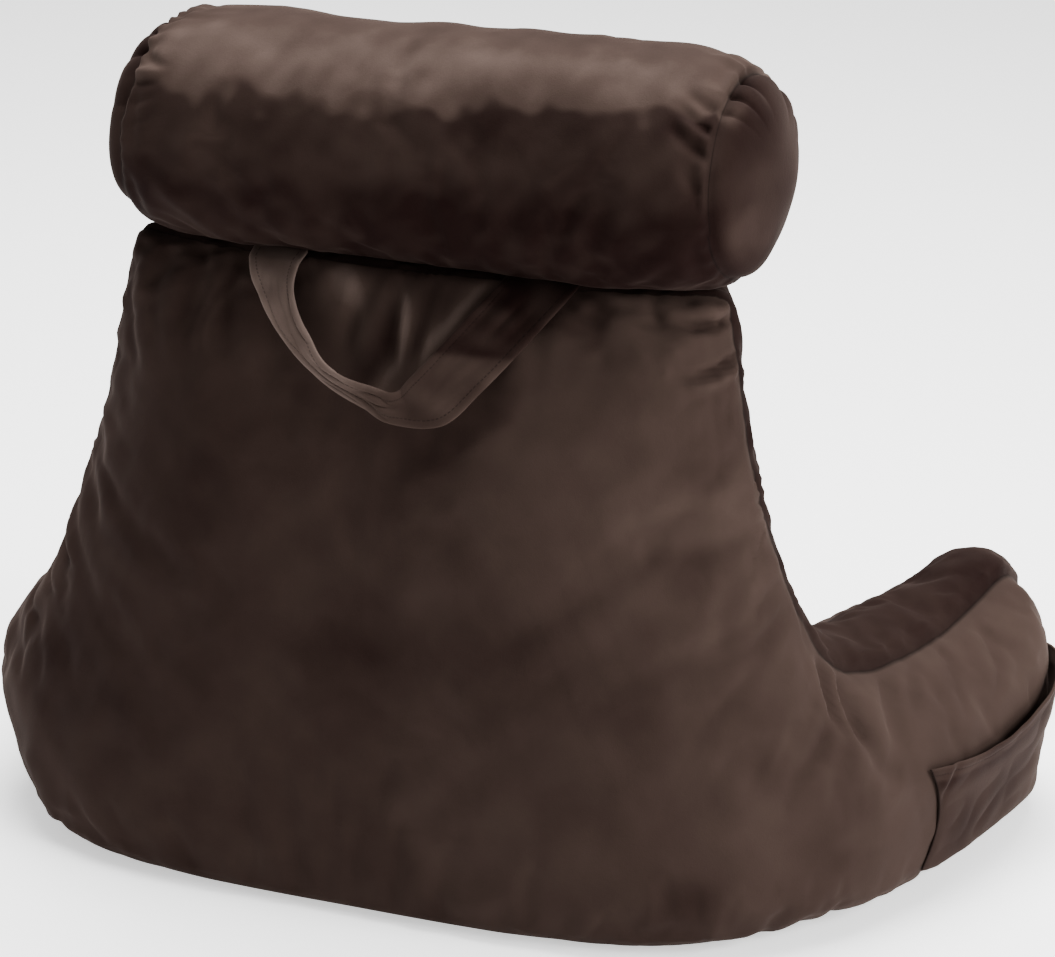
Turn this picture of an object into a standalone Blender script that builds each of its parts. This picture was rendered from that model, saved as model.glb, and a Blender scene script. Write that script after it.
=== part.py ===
"""Reading pillow: a filled backrest with two arms, a neck roll on its top, a carry handle and a side pocket.

The pillow stands on its base with +Z up, and whoever leans on it faces -Y. The cover is one bell-shaped
outer panel, one inner panel, a gusset strip between them and a base panel. Points of the filled body are
worked out in panel coordinates: s, the distance along the middle of the horseshoe from the centre of the
back (positive towards +X), z, the height, and n, the distance outwards from the middle of the filling.
"""

import math

import bmesh
import bpy
import numpy as np
from mathutils import Vector

# Cover and filling, in metres
GUSSET_HALF = 0.044
ARM_FRONT_CROWN = 0.024
BASE_LIFT = 0.003
BASE_ROLL_IN = 0.060
BACK_LEAN = 0.042
SIDE_SHIFT = 0.022
SIDE_LEAN = 0.012
LEAN_POWER = 1.6
CROWN_POWER = 2.2
CROWN_REACH_ARM = 0.088
CROWN_REACH_BACK = 0.225
ARM_SEAM_HEIGHT = 0.200
BACK_SEAM_HEIGHT = 0.510
SEAM_DIP = 0.0035
SEAM_DIP_REACH = 0.012

# How each arm differs from its twin: its lean outwards, how far it stands in, the height over which it
# rounds in to its base, and its share of the seam table's rise
ARM_FROM = 0.24
ARM_TO = 0.40
ARMS = {
    1: {"lean": 0.042, "inset": 0.001, "roll_in": 0.150, "rise": 0.3},
    -1: {"lean": 0.018, "inset": 0.004, "roll_in": 0.030, "rise": 1.0},
}

# Neck roll; its underside is squarer than round in the middle, where it rests on the back
ROLL_RADIUS = 0.0917
ROLL_CENTRE = Vector((0.0, 0.046, 0.5950))
ROLL_FLAT_BELOW = 0.0855
ROLL_SQUARENESS = 0.8
ROLL_END_SHARE = 0.26
ROLL_GATHERS = 14
ROLL_GATHER_DEPTH = 0.0040
ROLL_ENDS = {
    1: {"half_length": 0.246, "seam_radius": 0.076, "dome": 0.030, "round_in": 0.095, "slant": 0.009},
    -1: {"half_length": 0.247, "seam_radius": 0.077, "dome": 0.029, "round_in": 0.080, "slant": 0.000},
}

# Carry handle: a strap that is sewn flat into the top rear seam at both ends
STRAP_THICKNESS = 0.0026
STRAP_STAND_OFF = 0.021
STRAP_SEAT = 0.0007

# Side pocket on the -X arm
POCKET_THICKNESS = 0.0020
POCKET_SEAT = 0.0028
POCKET_SEWN_IN = 0.0018
POCKET_MOUTH = 0.010
POCKET_REAR_BOW = 0.016
POCKET_FOOT = 0.016
POCKET_FOOT_RISE = 0.014

# Where two soft pieces touch
CONTACT_GAP = 0.0004

# Mesh divisions
BODY_COLUMNS = 76
SIDE_ROWS = (0.0, 0.05, 0.13, 0.22, 0.31, 0.40, 0.49, 0.58, 0.67, 0.76, 0.84, 0.91, 0.965, 1.0)
GUSSET_LAYERS = (-1.0, -0.62, 0.0, 0.62, 1.0)
ROLL_SEGMENTS = 44
STRAP_LENGTHS = 40
STRAP_WIDTHS = 4
POCKET_LENGTHS = 18
POCKET_HEIGHTS = 9

# Stations round one half of the horseshoe, from the middle of the back to the front of an arm:
# where the plump outer and inner panels reach in plan, and half the width of the base panel
STATIONS = (
    {"outer_x": 0.000, "outer_y": 0.197, "inner_x": 0.000, "inner_y": 0.004, "base": 0.090},
    {"outer_x": 0.080, "outer_y": 0.197, "inner_x": 0.066, "inner_y": 0.004, "base": 0.090},
    {"outer_x": 0.160, "outer_y": 0.195, "inner_x": 0.126, "inner_y": 0.000, "base": 0.089},
    {"outer_x": 0.234, "outer_y": 0.184, "inner_x": 0.166, "inner_y": -0.009, "base": 0.087},
    {"outer_x": 0.288, "outer_y": 0.165, "inner_x": 0.189, "inner_y": -0.022, "base": 0.080},
    {"outer_x": 0.324, "outer_y": 0.140, "inner_x": 0.198, "inner_y": -0.034, "base": 0.069},
    {"outer_x": 0.356, "outer_y": 0.109, "inner_x": 0.206, "inner_y": -0.050, "base": 0.052},
    {"outer_x": 0.384, "outer_y": 0.071, "inner_x": 0.214, "inner_y": -0.072, "base": 0.035},
    {"outer_x": 0.404, "outer_y": 0.026, "inner_x": 0.221, "inner_y": -0.100, "base": 0.031},
    {"outer_x": 0.419, "outer_y": -0.038, "inner_x": 0.230, "inner_y": -0.138, "base": 0.040},
    {"outer_x": 0.429, "outer_y": -0.107, "inner_x": 0.240, "inner_y": -0.182, "base": 0.056},
    {"outer_x": 0.436, "outer_y": -0.180, "inner_x": 0.251, "inner_y": -0.228, "base": 0.066},
    {"outer_x": 0.438, "outer_y": -0.236, "inner_x": 0.259, "inner_y": -0.262, "base": 0.072},
    {"outer_x": 0.435, "outer_y": -0.272, "inner_x": 0.264, "inner_y": -0.286, "base": 0.073},
    {"outer_x": 0.428, "outer_y": -0.296, "inner_x": 0.269, "inner_y": -0.301, "base": 0.071},
    {"outer_x": 0.419, "outer_y": -0.311, "inner_x": 0.276, "inner_y": -0.312, "base": 0.066},
)

# The panels' seam with the gusset, along s: its height, how far the gusset bulges beyond it on the -X
# side and on the fuller +X side, and how much higher the inner panel's seam runs than the outer panel's
SEAM_LINE = (
    {"s": 0.000, "seam": 0.507, "crown": 0.000, "full_crown": 0.000, "rise": 0.000},
    {"s": 0.234, "seam": 0.509, "crown": 0.000, "full_crown": 0.000, "rise": 0.000},
    {"s": 0.243, "seam": 0.500, "crown": 0.003, "full_crown": 0.005, "rise": 0.000},
    {"s": 0.252, "seam": 0.446, "crown": 0.004, "full_crown": 0.007, "rise": 0.000},
    {"s": 0.261, "seam": 0.392, "crown": 0.004, "full_crown": 0.007, "rise": 0.000},
    {"s": 0.276, "seam": 0.331, "crown": 0.004, "full_crown": 0.007, "rise": 0.000},
    {"s": 0.292, "seam": 0.284, "crown": 0.005, "full_crown": 0.009, "rise": 0.000},
    {"s": 0.309, "seam": 0.241, "crown": 0.008, "full_crown": 0.016, "rise": 0.002},
    {"s": 0.324, "seam": 0.214, "crown": 0.010, "full_crown": 0.023, "rise": 0.005},
    {"s": 0.345, "seam": 0.194, "crown": 0.012, "full_crown": 0.028, "rise": 0.008},
    {"s": 0.380, "seam": 0.185, "crown": 0.013, "full_crown": 0.030, "rise": 0.011},
    {"s": 0.430, "seam": 0.183, "crown": 0.013, "full_crown": 0.029, "rise": 0.013},
    {"s": 0.480, "seam": 0.185, "crown": 0.013, "full_crown": 0.026, "rise": 0.008},
    {"s": 0.523, "seam": 0.195, "crown": 0.014, "full_crown": 0.022, "rise": -0.006},
    {"s": 0.562, "seam": 0.205, "crown": 0.016, "full_crown": 0.019, "rise": -0.016},
    {"s": 0.582, "seam": 0.203, "crown": 0.020, "full_crown": 0.020, "rise": -0.015},
    {"s": 0.606, "seam": 0.186, "crown": 0.023, "full_crown": 0.022, "rise": -0.006},
    {"s": 0.632, "seam": 0.152, "crown": 0.024, "full_crown": 0.023, "rise": 0.000},
    {"s": 0.656, "seam": 0.100, "crown": 0.024, "full_crown": 0.024, "rise": 0.000},
)

# Main troughs (depth above zero) and ridges of the outer panel, each a long soft dent through s, z.
# angle is the way it runs, in degrees up from +s.
OUTER_FOLDS = (
    {"s": -0.392, "z": 0.150, "angle": 82, "length": 0.060, "width": 0.011, "depth": 0.0060},
    {"s": -0.422, "z": 0.150, "angle": 100, "length": 0.050, "width": 0.012, "depth": 0.0045},
    {"s": -0.365, "z": 0.160, "angle": 55, "length": 0.055, "width": 0.014, "depth": 0.0045},
    {"s": -0.330, "z": 0.215, "angle": 40, "length": 0.050, "width": 0.013, "depth": 0.0040},
    {"s": -0.300, "z": 0.300, "angle": 38, "length": 0.045, "width": 0.012, "depth": 0.0040},
    {"s": -0.285, "z": 0.380, "angle": 42, "length": 0.040, "width": 0.011, "depth": 0.0035},
    {"s": -0.255, "z": 0.488, "angle": 4, "length": 0.045, "width": 0.009, "depth": 0.0060},
    {"s": -0.250, "z": 0.458, "angle": 28, "length": 0.045, "width": 0.010, "depth": 0.0045},
    {"s": 0.250, "z": 0.470, "angle": -20, "length": 0.040, "width": 0.011, "depth": 0.0045},
    {"s": 0.165, "z": 0.455, "angle": 88, "length": 0.055, "width": 0.011, "depth": 0.0040},
    {"s": 0.040, "z": 0.450, "angle": 88, "length": 0.050, "width": 0.010, "depth": 0.0040},
    {"s": -0.030, "z": 0.455, "angle": 98, "length": 0.045, "width": 0.010, "depth": 0.0035},
    {"s": 0.318, "z": 0.300, "angle": 115, "length": 0.060, "width": 0.012, "depth": 0.0045},
    {"s": 0.400, "z": 0.150, "angle": 95, "length": 0.055, "width": 0.012, "depth": 0.0050},
    {"s": 0.440, "z": 0.150, "angle": 80, "length": 0.050, "width": 0.012, "depth": 0.0040},
)

# The same for the inner panel
INNER_FOLDS = (
    {"s": 0.215, "z": 0.160, "angle": 80, "length": 0.080, "width": 0.014, "depth": 0.0060},
    {"s": -0.210, "z": 0.170, "angle": 98, "length": 0.085, "width": 0.014, "depth": 0.0060},
    {"s": 0.180, "z": 0.330, "angle": 70, "length": 0.070, "width": 0.013, "depth": 0.0040},
    {"s": -0.190, "z": 0.310, "angle": 112, "length": 0.070, "width": 0.013, "depth": 0.0040},
    {"s": 0.060, "z": 0.460, "angle": 85, "length": 0.050, "width": 0.012, "depth": 0.0035},
    {"s": -0.090, "z": 0.455, "angle": 95, "length": 0.050, "width": 0.012, "depth": 0.0035},
)

# The strap's lower and upper edges as it hangs, from its +X root round to its -X root, in panel
# coordinates; the lifts are shares of the stand-off
STRAP_EDGES = (
    {"low_s": 0.132, "low_z": 0.508, "low_lift": 0.00, "up_s": 0.086, "up_z": 0.508, "up_lift": 0.00},
    {"low_s": 0.112, "low_z": 0.486, "low_lift": 0.35, "up_s": 0.079, "up_z": 0.487, "up_lift": 0.40},
    {"low_s": 0.081, "low_z": 0.457, "low_lift": 0.60, "up_s": 0.054, "up_z": 0.460, "up_lift": 0.95},
    {"low_s": 0.045, "low_z": 0.431, "low_lift": 0.72, "up_s": 0.027, "up_z": 0.439, "up_lift": 1.25},
    {"low_s": 0.002, "low_z": 0.413, "low_lift": 0.85, "up_s": -0.006, "up_z": 0.431, "up_lift": 1.20},
    {"low_s": -0.024, "low_z": 0.405, "low_lift": 0.95, "up_s": -0.022, "up_z": 0.429, "up_lift": 1.05},
    {"low_s": -0.062, "low_z": 0.410, "low_lift": 1.00, "up_s": -0.031, "up_z": 0.440, "up_lift": 1.00},
    {"low_s": -0.086, "low_z": 0.437, "low_lift": 0.85, "up_s": -0.048, "up_z": 0.463, "up_lift": 0.85},
    {"low_s": -0.107, "low_z": 0.465, "low_lift": 0.55, "up_s": -0.066, "up_z": 0.489, "up_lift": 0.55},
    {"low_s": -0.127, "low_z": 0.495, "low_lift": 0.00, "up_s": -0.075, "up_z": 0.504, "up_lift": 0.00},
)

# The pocket's hem from its rear end to the arm's front
POCKET_HEM = (
    {"s": -0.400, "z": 0.117},
    {"s": -0.430, "z": 0.113},
    {"s": -0.472, "z": 0.109},
    {"s": -0.514, "z": 0.111},
    {"s": -0.548, "z": 0.121},
    {"s": -0.578, "z": 0.134},
    {"s": -0.610, "z": 0.136},
    {"s": -0.638, "z": 0.128},
)

# Finishes
VELVET = {"name": "brown_velvet", "colour": (0.070, 0.047, 0.040, 1.0), "roughness": 0.85}
VELVET_TRIM = {"name": "brown_velvet_trim", "colour": (0.085, 0.058, 0.050, 1.0), "roughness": 0.85}


def smooth_row(rows, position):
    """Catmull-Rom value of every column at a fractional row of a table."""
    first = min(int(math.floor(position)), len(rows) - 2)
    part = position - first

    def value(index, column):
        if index < 0:
            return 2 * rows[0][column] - rows[1][column]
        if index >= len(rows):
            return 2 * rows[-1][column] - rows[-2][column]
        return rows[index][column]

    made = {}
    for column in rows[0]:
        before, start, end, after = (value(first + step, column) for step in (-1, 0, 1, 2))
        made[column] = 0.5 * (
            2 * start
            + (end - before) * part
            + (2 * before - 5 * start + 4 * end - after) * part**2
            + (3 * start - before - 3 * end + after) * part**3
        )
    return made


def half_plan(samples=700):
    """Columns, sampled closely along half of the horseshoe, that every body point is read from."""
    stations = [
        smooth_row(STATIONS, position)
        for position in np.linspace(0, len(STATIONS) - 1, samples)
    ]
    outer = np.array([(row["outer_x"], row["outer_y"]) for row in stations])
    inner = np.array([(row["inner_x"], row["inner_y"]) for row in stations])
    middle = (outer + inner) / 2
    steps = np.linalg.norm(np.diff(middle, axis=0), axis=1)
    across = outer - inner
    s = np.concatenate([[0], np.cumsum(steps)])
    seam_s = [row["s"] for row in SEAM_LINE]
    seam = np.interp(s, seam_s, [row["seam"] for row in SEAM_LINE])
    edge_steps = np.hypot(np.diff(s), np.diff(seam))
    return {
        "s": s,
        "middle_x": middle[:, 0],
        "middle_y": middle[:, 1],
        "out_x": across[:, 0] / np.linalg.norm(across, axis=1),
        "out_y": across[:, 1] / np.linalg.norm(across, axis=1),
        "half": np.linalg.norm(across, axis=1) / 2,
        "base": np.array([row["base"] for row in stations]),
        "seam": seam,
        "crown": np.interp(s, seam_s, [row["crown"] for row in SEAM_LINE]),
        "full_crown": np.interp(s, seam_s, [row["full_crown"] for row in SEAM_LINE]),
        "rise": np.interp(s, seam_s, [row["rise"] for row in SEAM_LINE]),
        "edge": np.concatenate([[0], np.cumsum(edge_steps)]),
    }


PLAN = half_plan()
ARM_END_S = float(PLAN["s"][-1])


def plan_value(column, s):
    """A column of the half plan at the signed distance s; x columns change sign with s."""
    value = float(np.interp(abs(s), PLAN["s"], PLAN[column]))
    return math.copysign(value, s) if column.endswith("_x") and s < 0 else value


def bump(across, along, width, length):
    """A long soft bump, 1 in its middle and fading over its width and length."""
    return math.exp(-((across / width) ** 2) - (along / length) ** 4)


def folds(rows, s, z):
    """How far the panel sinks at s, z because of the troughs in a table."""
    sunk = 0.0
    for row in rows:
        turn = math.radians(row["angle"])
        ds, dz = s - row["s"], z - row["z"]
        along = ds * math.cos(turn) + dz * math.sin(turn)
        across = dz * math.cos(turn) - ds * math.sin(turn)
        sunk += row["depth"] * bump(across, along, row["width"], row["length"])
    return sunk


def filling_lumps(s, z, side):
    """Slow unevenness of the crumbed filling under a panel."""
    return 0.0022 * (
        math.sin(19 * s + 7 * side + 4 * z) * math.cos(23 * z - 5 * s)
        + 0.6 * math.sin(31 * s - 17 * z + 2 * side)
    )


EDGE_S = np.concatenate([PLAN["s"], [ARM_END_S]])
EDGE_Z = np.concatenate([PLAN["seam"], [0.0]])


def edge_distance(s, z):
    """Distance in the flat panel from s, z to its seam with the gusset."""
    start = np.stack([EDGE_S[:-1], EDGE_Z[:-1]], axis=1)
    run = np.stack([np.diff(EDGE_S), np.diff(EDGE_Z)], axis=1)
    to_point = np.array([abs(s), z]) - start
    share = np.clip((to_point * run).sum(axis=1) / np.maximum((run**2).sum(axis=1), 1e-12), 0, 1)
    return float(np.linalg.norm(to_point - run * share[:, None], axis=1).min())


def arm_of(s):
    """The arm that s runs towards, a row of ARMS."""
    return ARMS[-1 if s < 0 else 1]


def arm_share(s):
    """0 on the back, 1 on an arm, with a soft change between them."""
    share = min(max((abs(s) - ARM_FROM) / (ARM_TO - ARM_FROM), 0), 1)
    return share**2 * (3 - 2 * share)


def half_thickness(s, z, side):
    """How far the cover stands from the middle of the filling, on the outer (+1) or inner (-1) side."""
    tallness = np.clip(
        (plan_value("seam", s) - ARM_SEAM_HEIGHT) / (BACK_SEAM_HEIGHT - ARM_SEAM_HEIGHT), 0, 1
    )
    reach = CROWN_REACH_ARM + (CROWN_REACH_BACK - CROWN_REACH_ARM) * tallness
    inward = edge_distance(s, z)
    crown = 1 - (1 - min(inward / reach, 1)) ** CROWN_POWER
    full = GUSSET_HALF + (plan_value("half", s) - GUSSET_HALF) * crown
    table = OUTER_FOLDS if side > 0 else INNER_FOLDS
    fade = min(inward / (3 * SEAM_DIP_REACH), 1)
    full += (filling_lumps(s, z, side) - folds(table, s, z)) * fade
    full -= SEAM_DIP * math.exp(-inward / SEAM_DIP_REACH)
    roll_in = BASE_ROLL_IN + (arm_of(s)["roll_in"] - BASE_ROLL_IN) * arm_share(s)
    base_share = min(z / roll_in, 1)
    rolled = math.sqrt(1 - (1 - base_share) ** 2)
    base = plan_value("base", s)
    return base + (full - base) * rolled if full > base else full


def in_space(s, z, n):
    """The point of panel coordinates s, z, n in space, with the back's forward lean and the arms' outward."""
    lean = BACK_LEAN * (max(z, 0.0) / BACK_SEAM_HEIGHT) ** LEAN_POWER
    beyond = max(abs(s) - ARM_END_S, 0.0)
    ahead_x = math.copysign(PLAN["middle_x"][-1] - PLAN["middle_x"][-20], s)
    ahead_y = PLAN["middle_y"][-1] - PLAN["middle_y"][-20]
    share = beyond / math.hypot(ahead_x, ahead_y)
    aside = SIDE_SHIFT - SIDE_LEAN * z / BACK_SEAM_HEIGHT
    outwards = arm_of(s)["lean"] * (min(z / ARM_SEAM_HEIGHT, 1) - 0.5) - arm_of(s)["inset"]
    aside += (1 if s > 0 else -1) * outwards * arm_share(s)
    return Vector(
        (
            plan_value("middle_x", s) + plan_value("out_x", s) * n + ahead_x * share + aside,
            plan_value("middle_y", s) + plan_value("out_y", s) * n + ahead_y * share - lean,
            z,
        )
    )


def edge_outward(s):
    """Direction away from the panel at its seam over s, as (along s, up)."""
    step = 0.004
    low, high = max(abs(s) - step, 0), min(abs(s) + step, ARM_END_S)
    rise = plan_value("seam", high) - plan_value("seam", low)
    run = high - low
    length = math.hypot(rise, run)
    return -rise / length * math.copysign(1, s), run / length


def front_crown(row):
    """How far the gusset bulges ahead of an arm's front at a share of the height of its seam's end."""
    end_crown = plan_value("crown", ARM_END_S)
    return end_crown * row + ARM_FRONT_CROWN * (0.3 * (1 - row) + 0.5 * math.sin(math.pi * row))


def body_point(column, row, layer):
    """Place of one cage point: column -1 to 1 round the horseshoe, row 0 to 1 up, layer -1 to 1 outwards."""
    s = float(np.interp(abs(column) * PLAN["edge"][-1], PLAN["edge"], PLAN["s"])) * math.copysign(1, column)
    seam = plan_value("seam", s)
    z = row * seam
    if abs(layer) == 1:
        side = int(layer)
        n = side * half_thickness(s, z, side)
    else:
        n = layer * (GUSSET_HALF - SEAM_DIP if row > 0 else plan_value("base", s))
    fullness = (1 - layer**2) ** 0.6
    if row == 1:
        away_s, away_z = edge_outward(s)
        crown = plan_value("crown" if s < 0 else "full_crown", s) * fullness
        s, z = s + away_s * crown, z + away_z * crown
    elif abs(column) == 1:
        s += math.copysign(front_crown(row), s) * fullness
    if row == 0:
        z = BASE_LIFT * max(abs(layer) ** 8, abs(column) ** 60)
    z += plan_value("rise", s) * arm_of(s)["rise"] * row * (1 - layer) / 2
    return in_space(s, min(z, ROLL_CENTRE.z - ROLL_FLAT_BELOW - CONTACT_GAP), n)


def unit_cage(columns, rows, layers):
    """A closed box from -1 to 1 in x and y and 0 to 1 in z, cut at the given stations along each axis."""
    mesh = bmesh.new()
    bmesh.ops.create_cube(mesh, size=2)
    bmesh.ops.scale(mesh, vec=(1, 1, 0.5), verts=mesh.verts)
    bmesh.ops.translate(mesh, vec=(0, 0, 0.5), verts=mesh.verts)
    for axis, stations in ((0, columns), (1, layers), (2, rows)):
        normal = Vector([float(index == axis) for index in range(3)])
        for station in stations[1:-1]:
            bmesh.ops.bisect_plane(
                mesh,
                geom=mesh.verts[:] + mesh.edges[:] + mesh.faces[:],
                plane_co=normal * station,
                plane_no=normal,
            )
    return mesh


def finish_mesh(name, mesh, finish, collection):
    """Turns a bmesh into a named, smooth-shaded object with its own material."""
    data = bpy.data.meshes.new(name)
    mesh.to_mesh(data)
    mesh.free()
    data.shade_smooth()
    made = bpy.data.objects.new(name, data)
    collection.objects.link(made)
    data.materials.append(velvet(finish))
    return made


def velvet(finish):
    """A Principled material for one finish, made once."""
    found = bpy.data.materials.get(finish["name"])
    if found:
        return found
    made = bpy.data.materials.new(finish["name"])
    made.use_nodes = True
    shader = made.node_tree.nodes["Principled BSDF"]
    shader.inputs["Base Color"].default_value = finish["colour"]
    shader.inputs["Roughness"].default_value = finish["roughness"]
    shader.inputs["Metallic"].default_value = 0.0
    made.diffuse_color = finish["colour"]
    return made


def make_body(collection):
    """The filled back and arms, one closed solid with its crowns, seams and main folds."""
    columns = np.linspace(-1, 1, BODY_COLUMNS + 1)
    mesh = unit_cage(columns, SIDE_ROWS, GUSSET_LAYERS)
    for vertex in mesh.verts:
        column, layer, row = (round(value, 5) for value in vertex.co)
        vertex.co = body_point(column, row, layer)
    return finish_mesh("back_and_arms", mesh, VELVET, collection)


def roll_profile(latitude):
    """(distance along the roll, radius) at a latitude from -1 to 1: two domed end rounds and the barrel."""
    side = -1 if latitude < 0 else 1
    end = ROLL_ENDS[side]
    if abs(latitude) > 1 - ROLL_END_SHARE:
        inward = (1 - abs(latitude)) / ROLL_END_SHARE
        radius = end["seam_radius"] * math.sin(inward * math.pi / 2)
        return side * (end["half_length"] + end["dome"] * (1 - inward**2)), radius
    along = latitude / (1 - ROLL_END_SHARE) * end["half_length"]
    from_seam = min((end["half_length"] - abs(along)) / end["round_in"], 1)
    rounding = math.sqrt(1 - (1 - from_seam) ** 2)
    return along, end["seam_radius"] + (ROLL_RADIUS - end["seam_radius"]) * rounding


def roll_point(turn, latitude):
    """Place of one point of the neck roll, with its gathered ends and the side that it rests on."""
    along, radius = roll_profile(latitude)
    end = ROLL_ENDS[-1 if latitude < 0 else 1]
    from_seam = end["half_length"] - abs(along)
    near_seam = math.exp(-((from_seam / 0.022) ** 2))
    wave = math.cos(ROLL_GATHERS * turn + 1.3 * math.sin(3 * turn))
    on_rim = min(radius / end["seam_radius"], 1)
    radius += (ROLL_GATHER_DEPTH * wave * near_seam + 0.0018 * math.sin(2 * turn + 14 * along)) * on_rim
    if turn < 0:
        middle = 1 - min(abs(along) / end["half_length"], 1) ** 4
        power = 2 + ROLL_SQUARENESS * middle
        radius /= (abs(math.cos(turn)) ** power + abs(math.sin(turn)) ** power) ** (1 / power)
    y, z = radius * math.cos(turn), radius * math.sin(turn)
    along -= end["slant"] * z / ROLL_RADIUS * (along / end["half_length"]) ** 3
    return ROLL_CENTRE + Vector((along, y, max(z, -ROLL_FLAT_BELOW)))


def make_roll(collection):
    """The neck roll: a filled barrel along X whose end rounds are gathered into their seams."""
    rings = 30
    mesh = bmesh.new()
    bmesh.ops.create_uvsphere(mesh, u_segments=ROLL_SEGMENTS, v_segments=rings, radius=1)
    for vertex in mesh.verts:
        latitude = 1 - 2 * math.acos(max(-1, min(1, vertex.co.z))) / math.pi
        turn = math.atan2(vertex.co.y, vertex.co.x)
        vertex.co = roll_point(turn, latitude)
    return finish_mesh("neck_roll", mesh, VELVET, collection)


def unit_grid(lengths, widths):
    """A flat grid from 0 to 1 in x and -1 to 1 in y."""
    mesh = bmesh.new()
    bmesh.ops.create_grid(mesh, x_segments=lengths, y_segments=widths, size=1)
    bmesh.ops.scale(mesh, vec=(0.5, 1, 1), verts=mesh.verts)
    bmesh.ops.translate(mesh, vec=(0.5, 0, 0), verts=mesh.verts)
    return mesh


def thicken(sheet, thickness):
    """Gives an open sheet its cloth thickness, half to each side."""
    solidify = sheet.modifiers.new("cloth thickness", "SOLIDIFY")
    solidify.thickness = thickness
    solidify.offset = 0
    return sheet


def strap_point(along, across):
    """Place of one point of the strap's middle surface: along 0 to 1, across -1 (lower edge) to 1."""
    row = smooth_row(STRAP_EDGES, along * (len(STRAP_EDGES) - 1))
    upper = (across + 1) / 2
    s = row["low_s"] + (row["up_s"] - row["low_s"]) * upper
    z = row["low_z"] + (row["up_z"] - row["low_z"]) * upper
    rise = row["low_lift"] + (row["up_lift"] - row["low_lift"]) * upper
    lift = STRAP_SEAT + STRAP_THICKNESS / 2 + STRAP_STAND_OFF * max(rise, 0.0)
    return in_space(s, z, half_thickness(s, min(z, plan_value("seam", s)), 1) + lift)


def make_strap(collection):
    """The carry handle, one strap hanging in a loop behind the back."""
    mesh = unit_grid(STRAP_LENGTHS, STRAP_WIDTHS)
    for vertex in mesh.verts:
        vertex.co = strap_point(vertex.co.x, vertex.co.y)
    return thicken(finish_mesh("carry_handle", mesh, VELVET_TRIM, collection), STRAP_THICKNESS)


def pocket_point(along, up):
    """Place of one point of the pocket patch: along 0 at its rear edge to 1 at its front, up -1 to 1."""
    hem = smooth_row(POCKET_HEM, along * (len(POCKET_HEM) - 1))
    height_share = (up + 1) / 2
    foot = POCKET_FOOT + POCKET_FOOT_RISE * (1 - along) ** 2.5
    z = foot + (hem["z"] - foot) * height_share
    s = hem["s"] - POCKET_REAR_BOW * math.sin(0.9 * math.pi * (1 - height_share)) * (1 - along)
    mouth = POCKET_MOUTH * height_share**2 * math.sin(math.pi * along**1.15) ** 1.2
    lift = POCKET_SEAT - POCKET_SEWN_IN * (1 - height_share) ** 3 + POCKET_THICKNESS / 2 + mouth
    return in_space(s, z, half_thickness(s, z, 1) + lift)


def make_pocket(collection):
    """The patch pocket, a sheet sewn down at its sides and foot with its mouth a little open."""
    mesh = unit_grid(POCKET_LENGTHS, POCKET_HEIGHTS)
    for vertex in mesh.verts:
        vertex.co = pocket_point(vertex.co.x, vertex.co.y)
    return thicken(finish_mesh("side_pocket", mesh, VELVET_TRIM, collection), POCKET_THICKNESS)


def centre_on_origin(parts):
    """Moves all parts together so that the origin is under the middle of their common box, on the floor."""
    bpy.context.view_layer.update()
    graph = bpy.context.evaluated_depsgraph_get()
    shown = [part.evaluated_get(graph) for part in parts]
    corners = np.array([piece.matrix_world @ vertex.co for piece in shown for vertex in piece.data.vertices])
    low, high = corners.min(axis=0), corners.max(axis=0)
    shift = -Vector(((low[0] + high[0]) / 2, (low[1] + high[1]) / 2, low[2]))
    for part in parts:
        part.location += shift
    print("shift onto the origin:", [round(value, 5) for value in shift])


def main():
    for old in list(bpy.data.objects):
        bpy.data.objects.remove(old)
    collection = bpy.data.collections.new("reading_pillow")
    bpy.context.scene.collection.children.link(collection)
    parts = [make_body(collection), make_roll(collection), make_strap(collection), make_pocket(collection)]
    centre_on_origin(parts)


main()
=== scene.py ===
"""The looks of a reading pillow: brushed velvet over its filled back and arms, neck roll, handle and pocket.

The filled body is worked out in panel coordinates: s runs along the middle of the horseshoe from the centre
of the back (positive towards +X), z is the height and n the distance outwards from the middle of the filling.
"""

from __future__ import annotations

import logging
import math
from dataclasses import dataclass, field
from enum import Enum
from typing import Iterable, Sequence

import bmesh
import bpy
import numpy as np
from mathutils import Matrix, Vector
from mathutils.bvhtree import BVHTree

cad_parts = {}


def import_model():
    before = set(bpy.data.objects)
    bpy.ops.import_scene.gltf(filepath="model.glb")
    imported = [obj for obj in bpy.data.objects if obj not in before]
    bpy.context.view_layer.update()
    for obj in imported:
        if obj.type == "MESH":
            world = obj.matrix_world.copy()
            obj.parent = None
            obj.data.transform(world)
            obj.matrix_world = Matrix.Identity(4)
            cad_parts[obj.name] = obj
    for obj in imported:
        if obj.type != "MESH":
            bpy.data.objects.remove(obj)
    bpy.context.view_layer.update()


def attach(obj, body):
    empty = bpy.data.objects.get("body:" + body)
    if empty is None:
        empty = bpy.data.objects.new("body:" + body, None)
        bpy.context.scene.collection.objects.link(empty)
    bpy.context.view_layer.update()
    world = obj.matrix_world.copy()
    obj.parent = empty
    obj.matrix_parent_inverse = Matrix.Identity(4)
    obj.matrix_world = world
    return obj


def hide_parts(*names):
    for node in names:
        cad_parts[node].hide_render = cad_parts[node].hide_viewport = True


LOG = logging.getLogger("reading_pillow")

IMAGE_WIDTH = 1055
SENSOR_WIDTH = 36.0


class Side(Enum):
    """The two big panels of the cover."""

    OUTER = 1
    INNER = -1


class Slot(Enum):
    """The record's material slots."""

    COVER = "brown_velvet"
    TRIM = "brown_velvet_trim"


# Shared helpers


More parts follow.
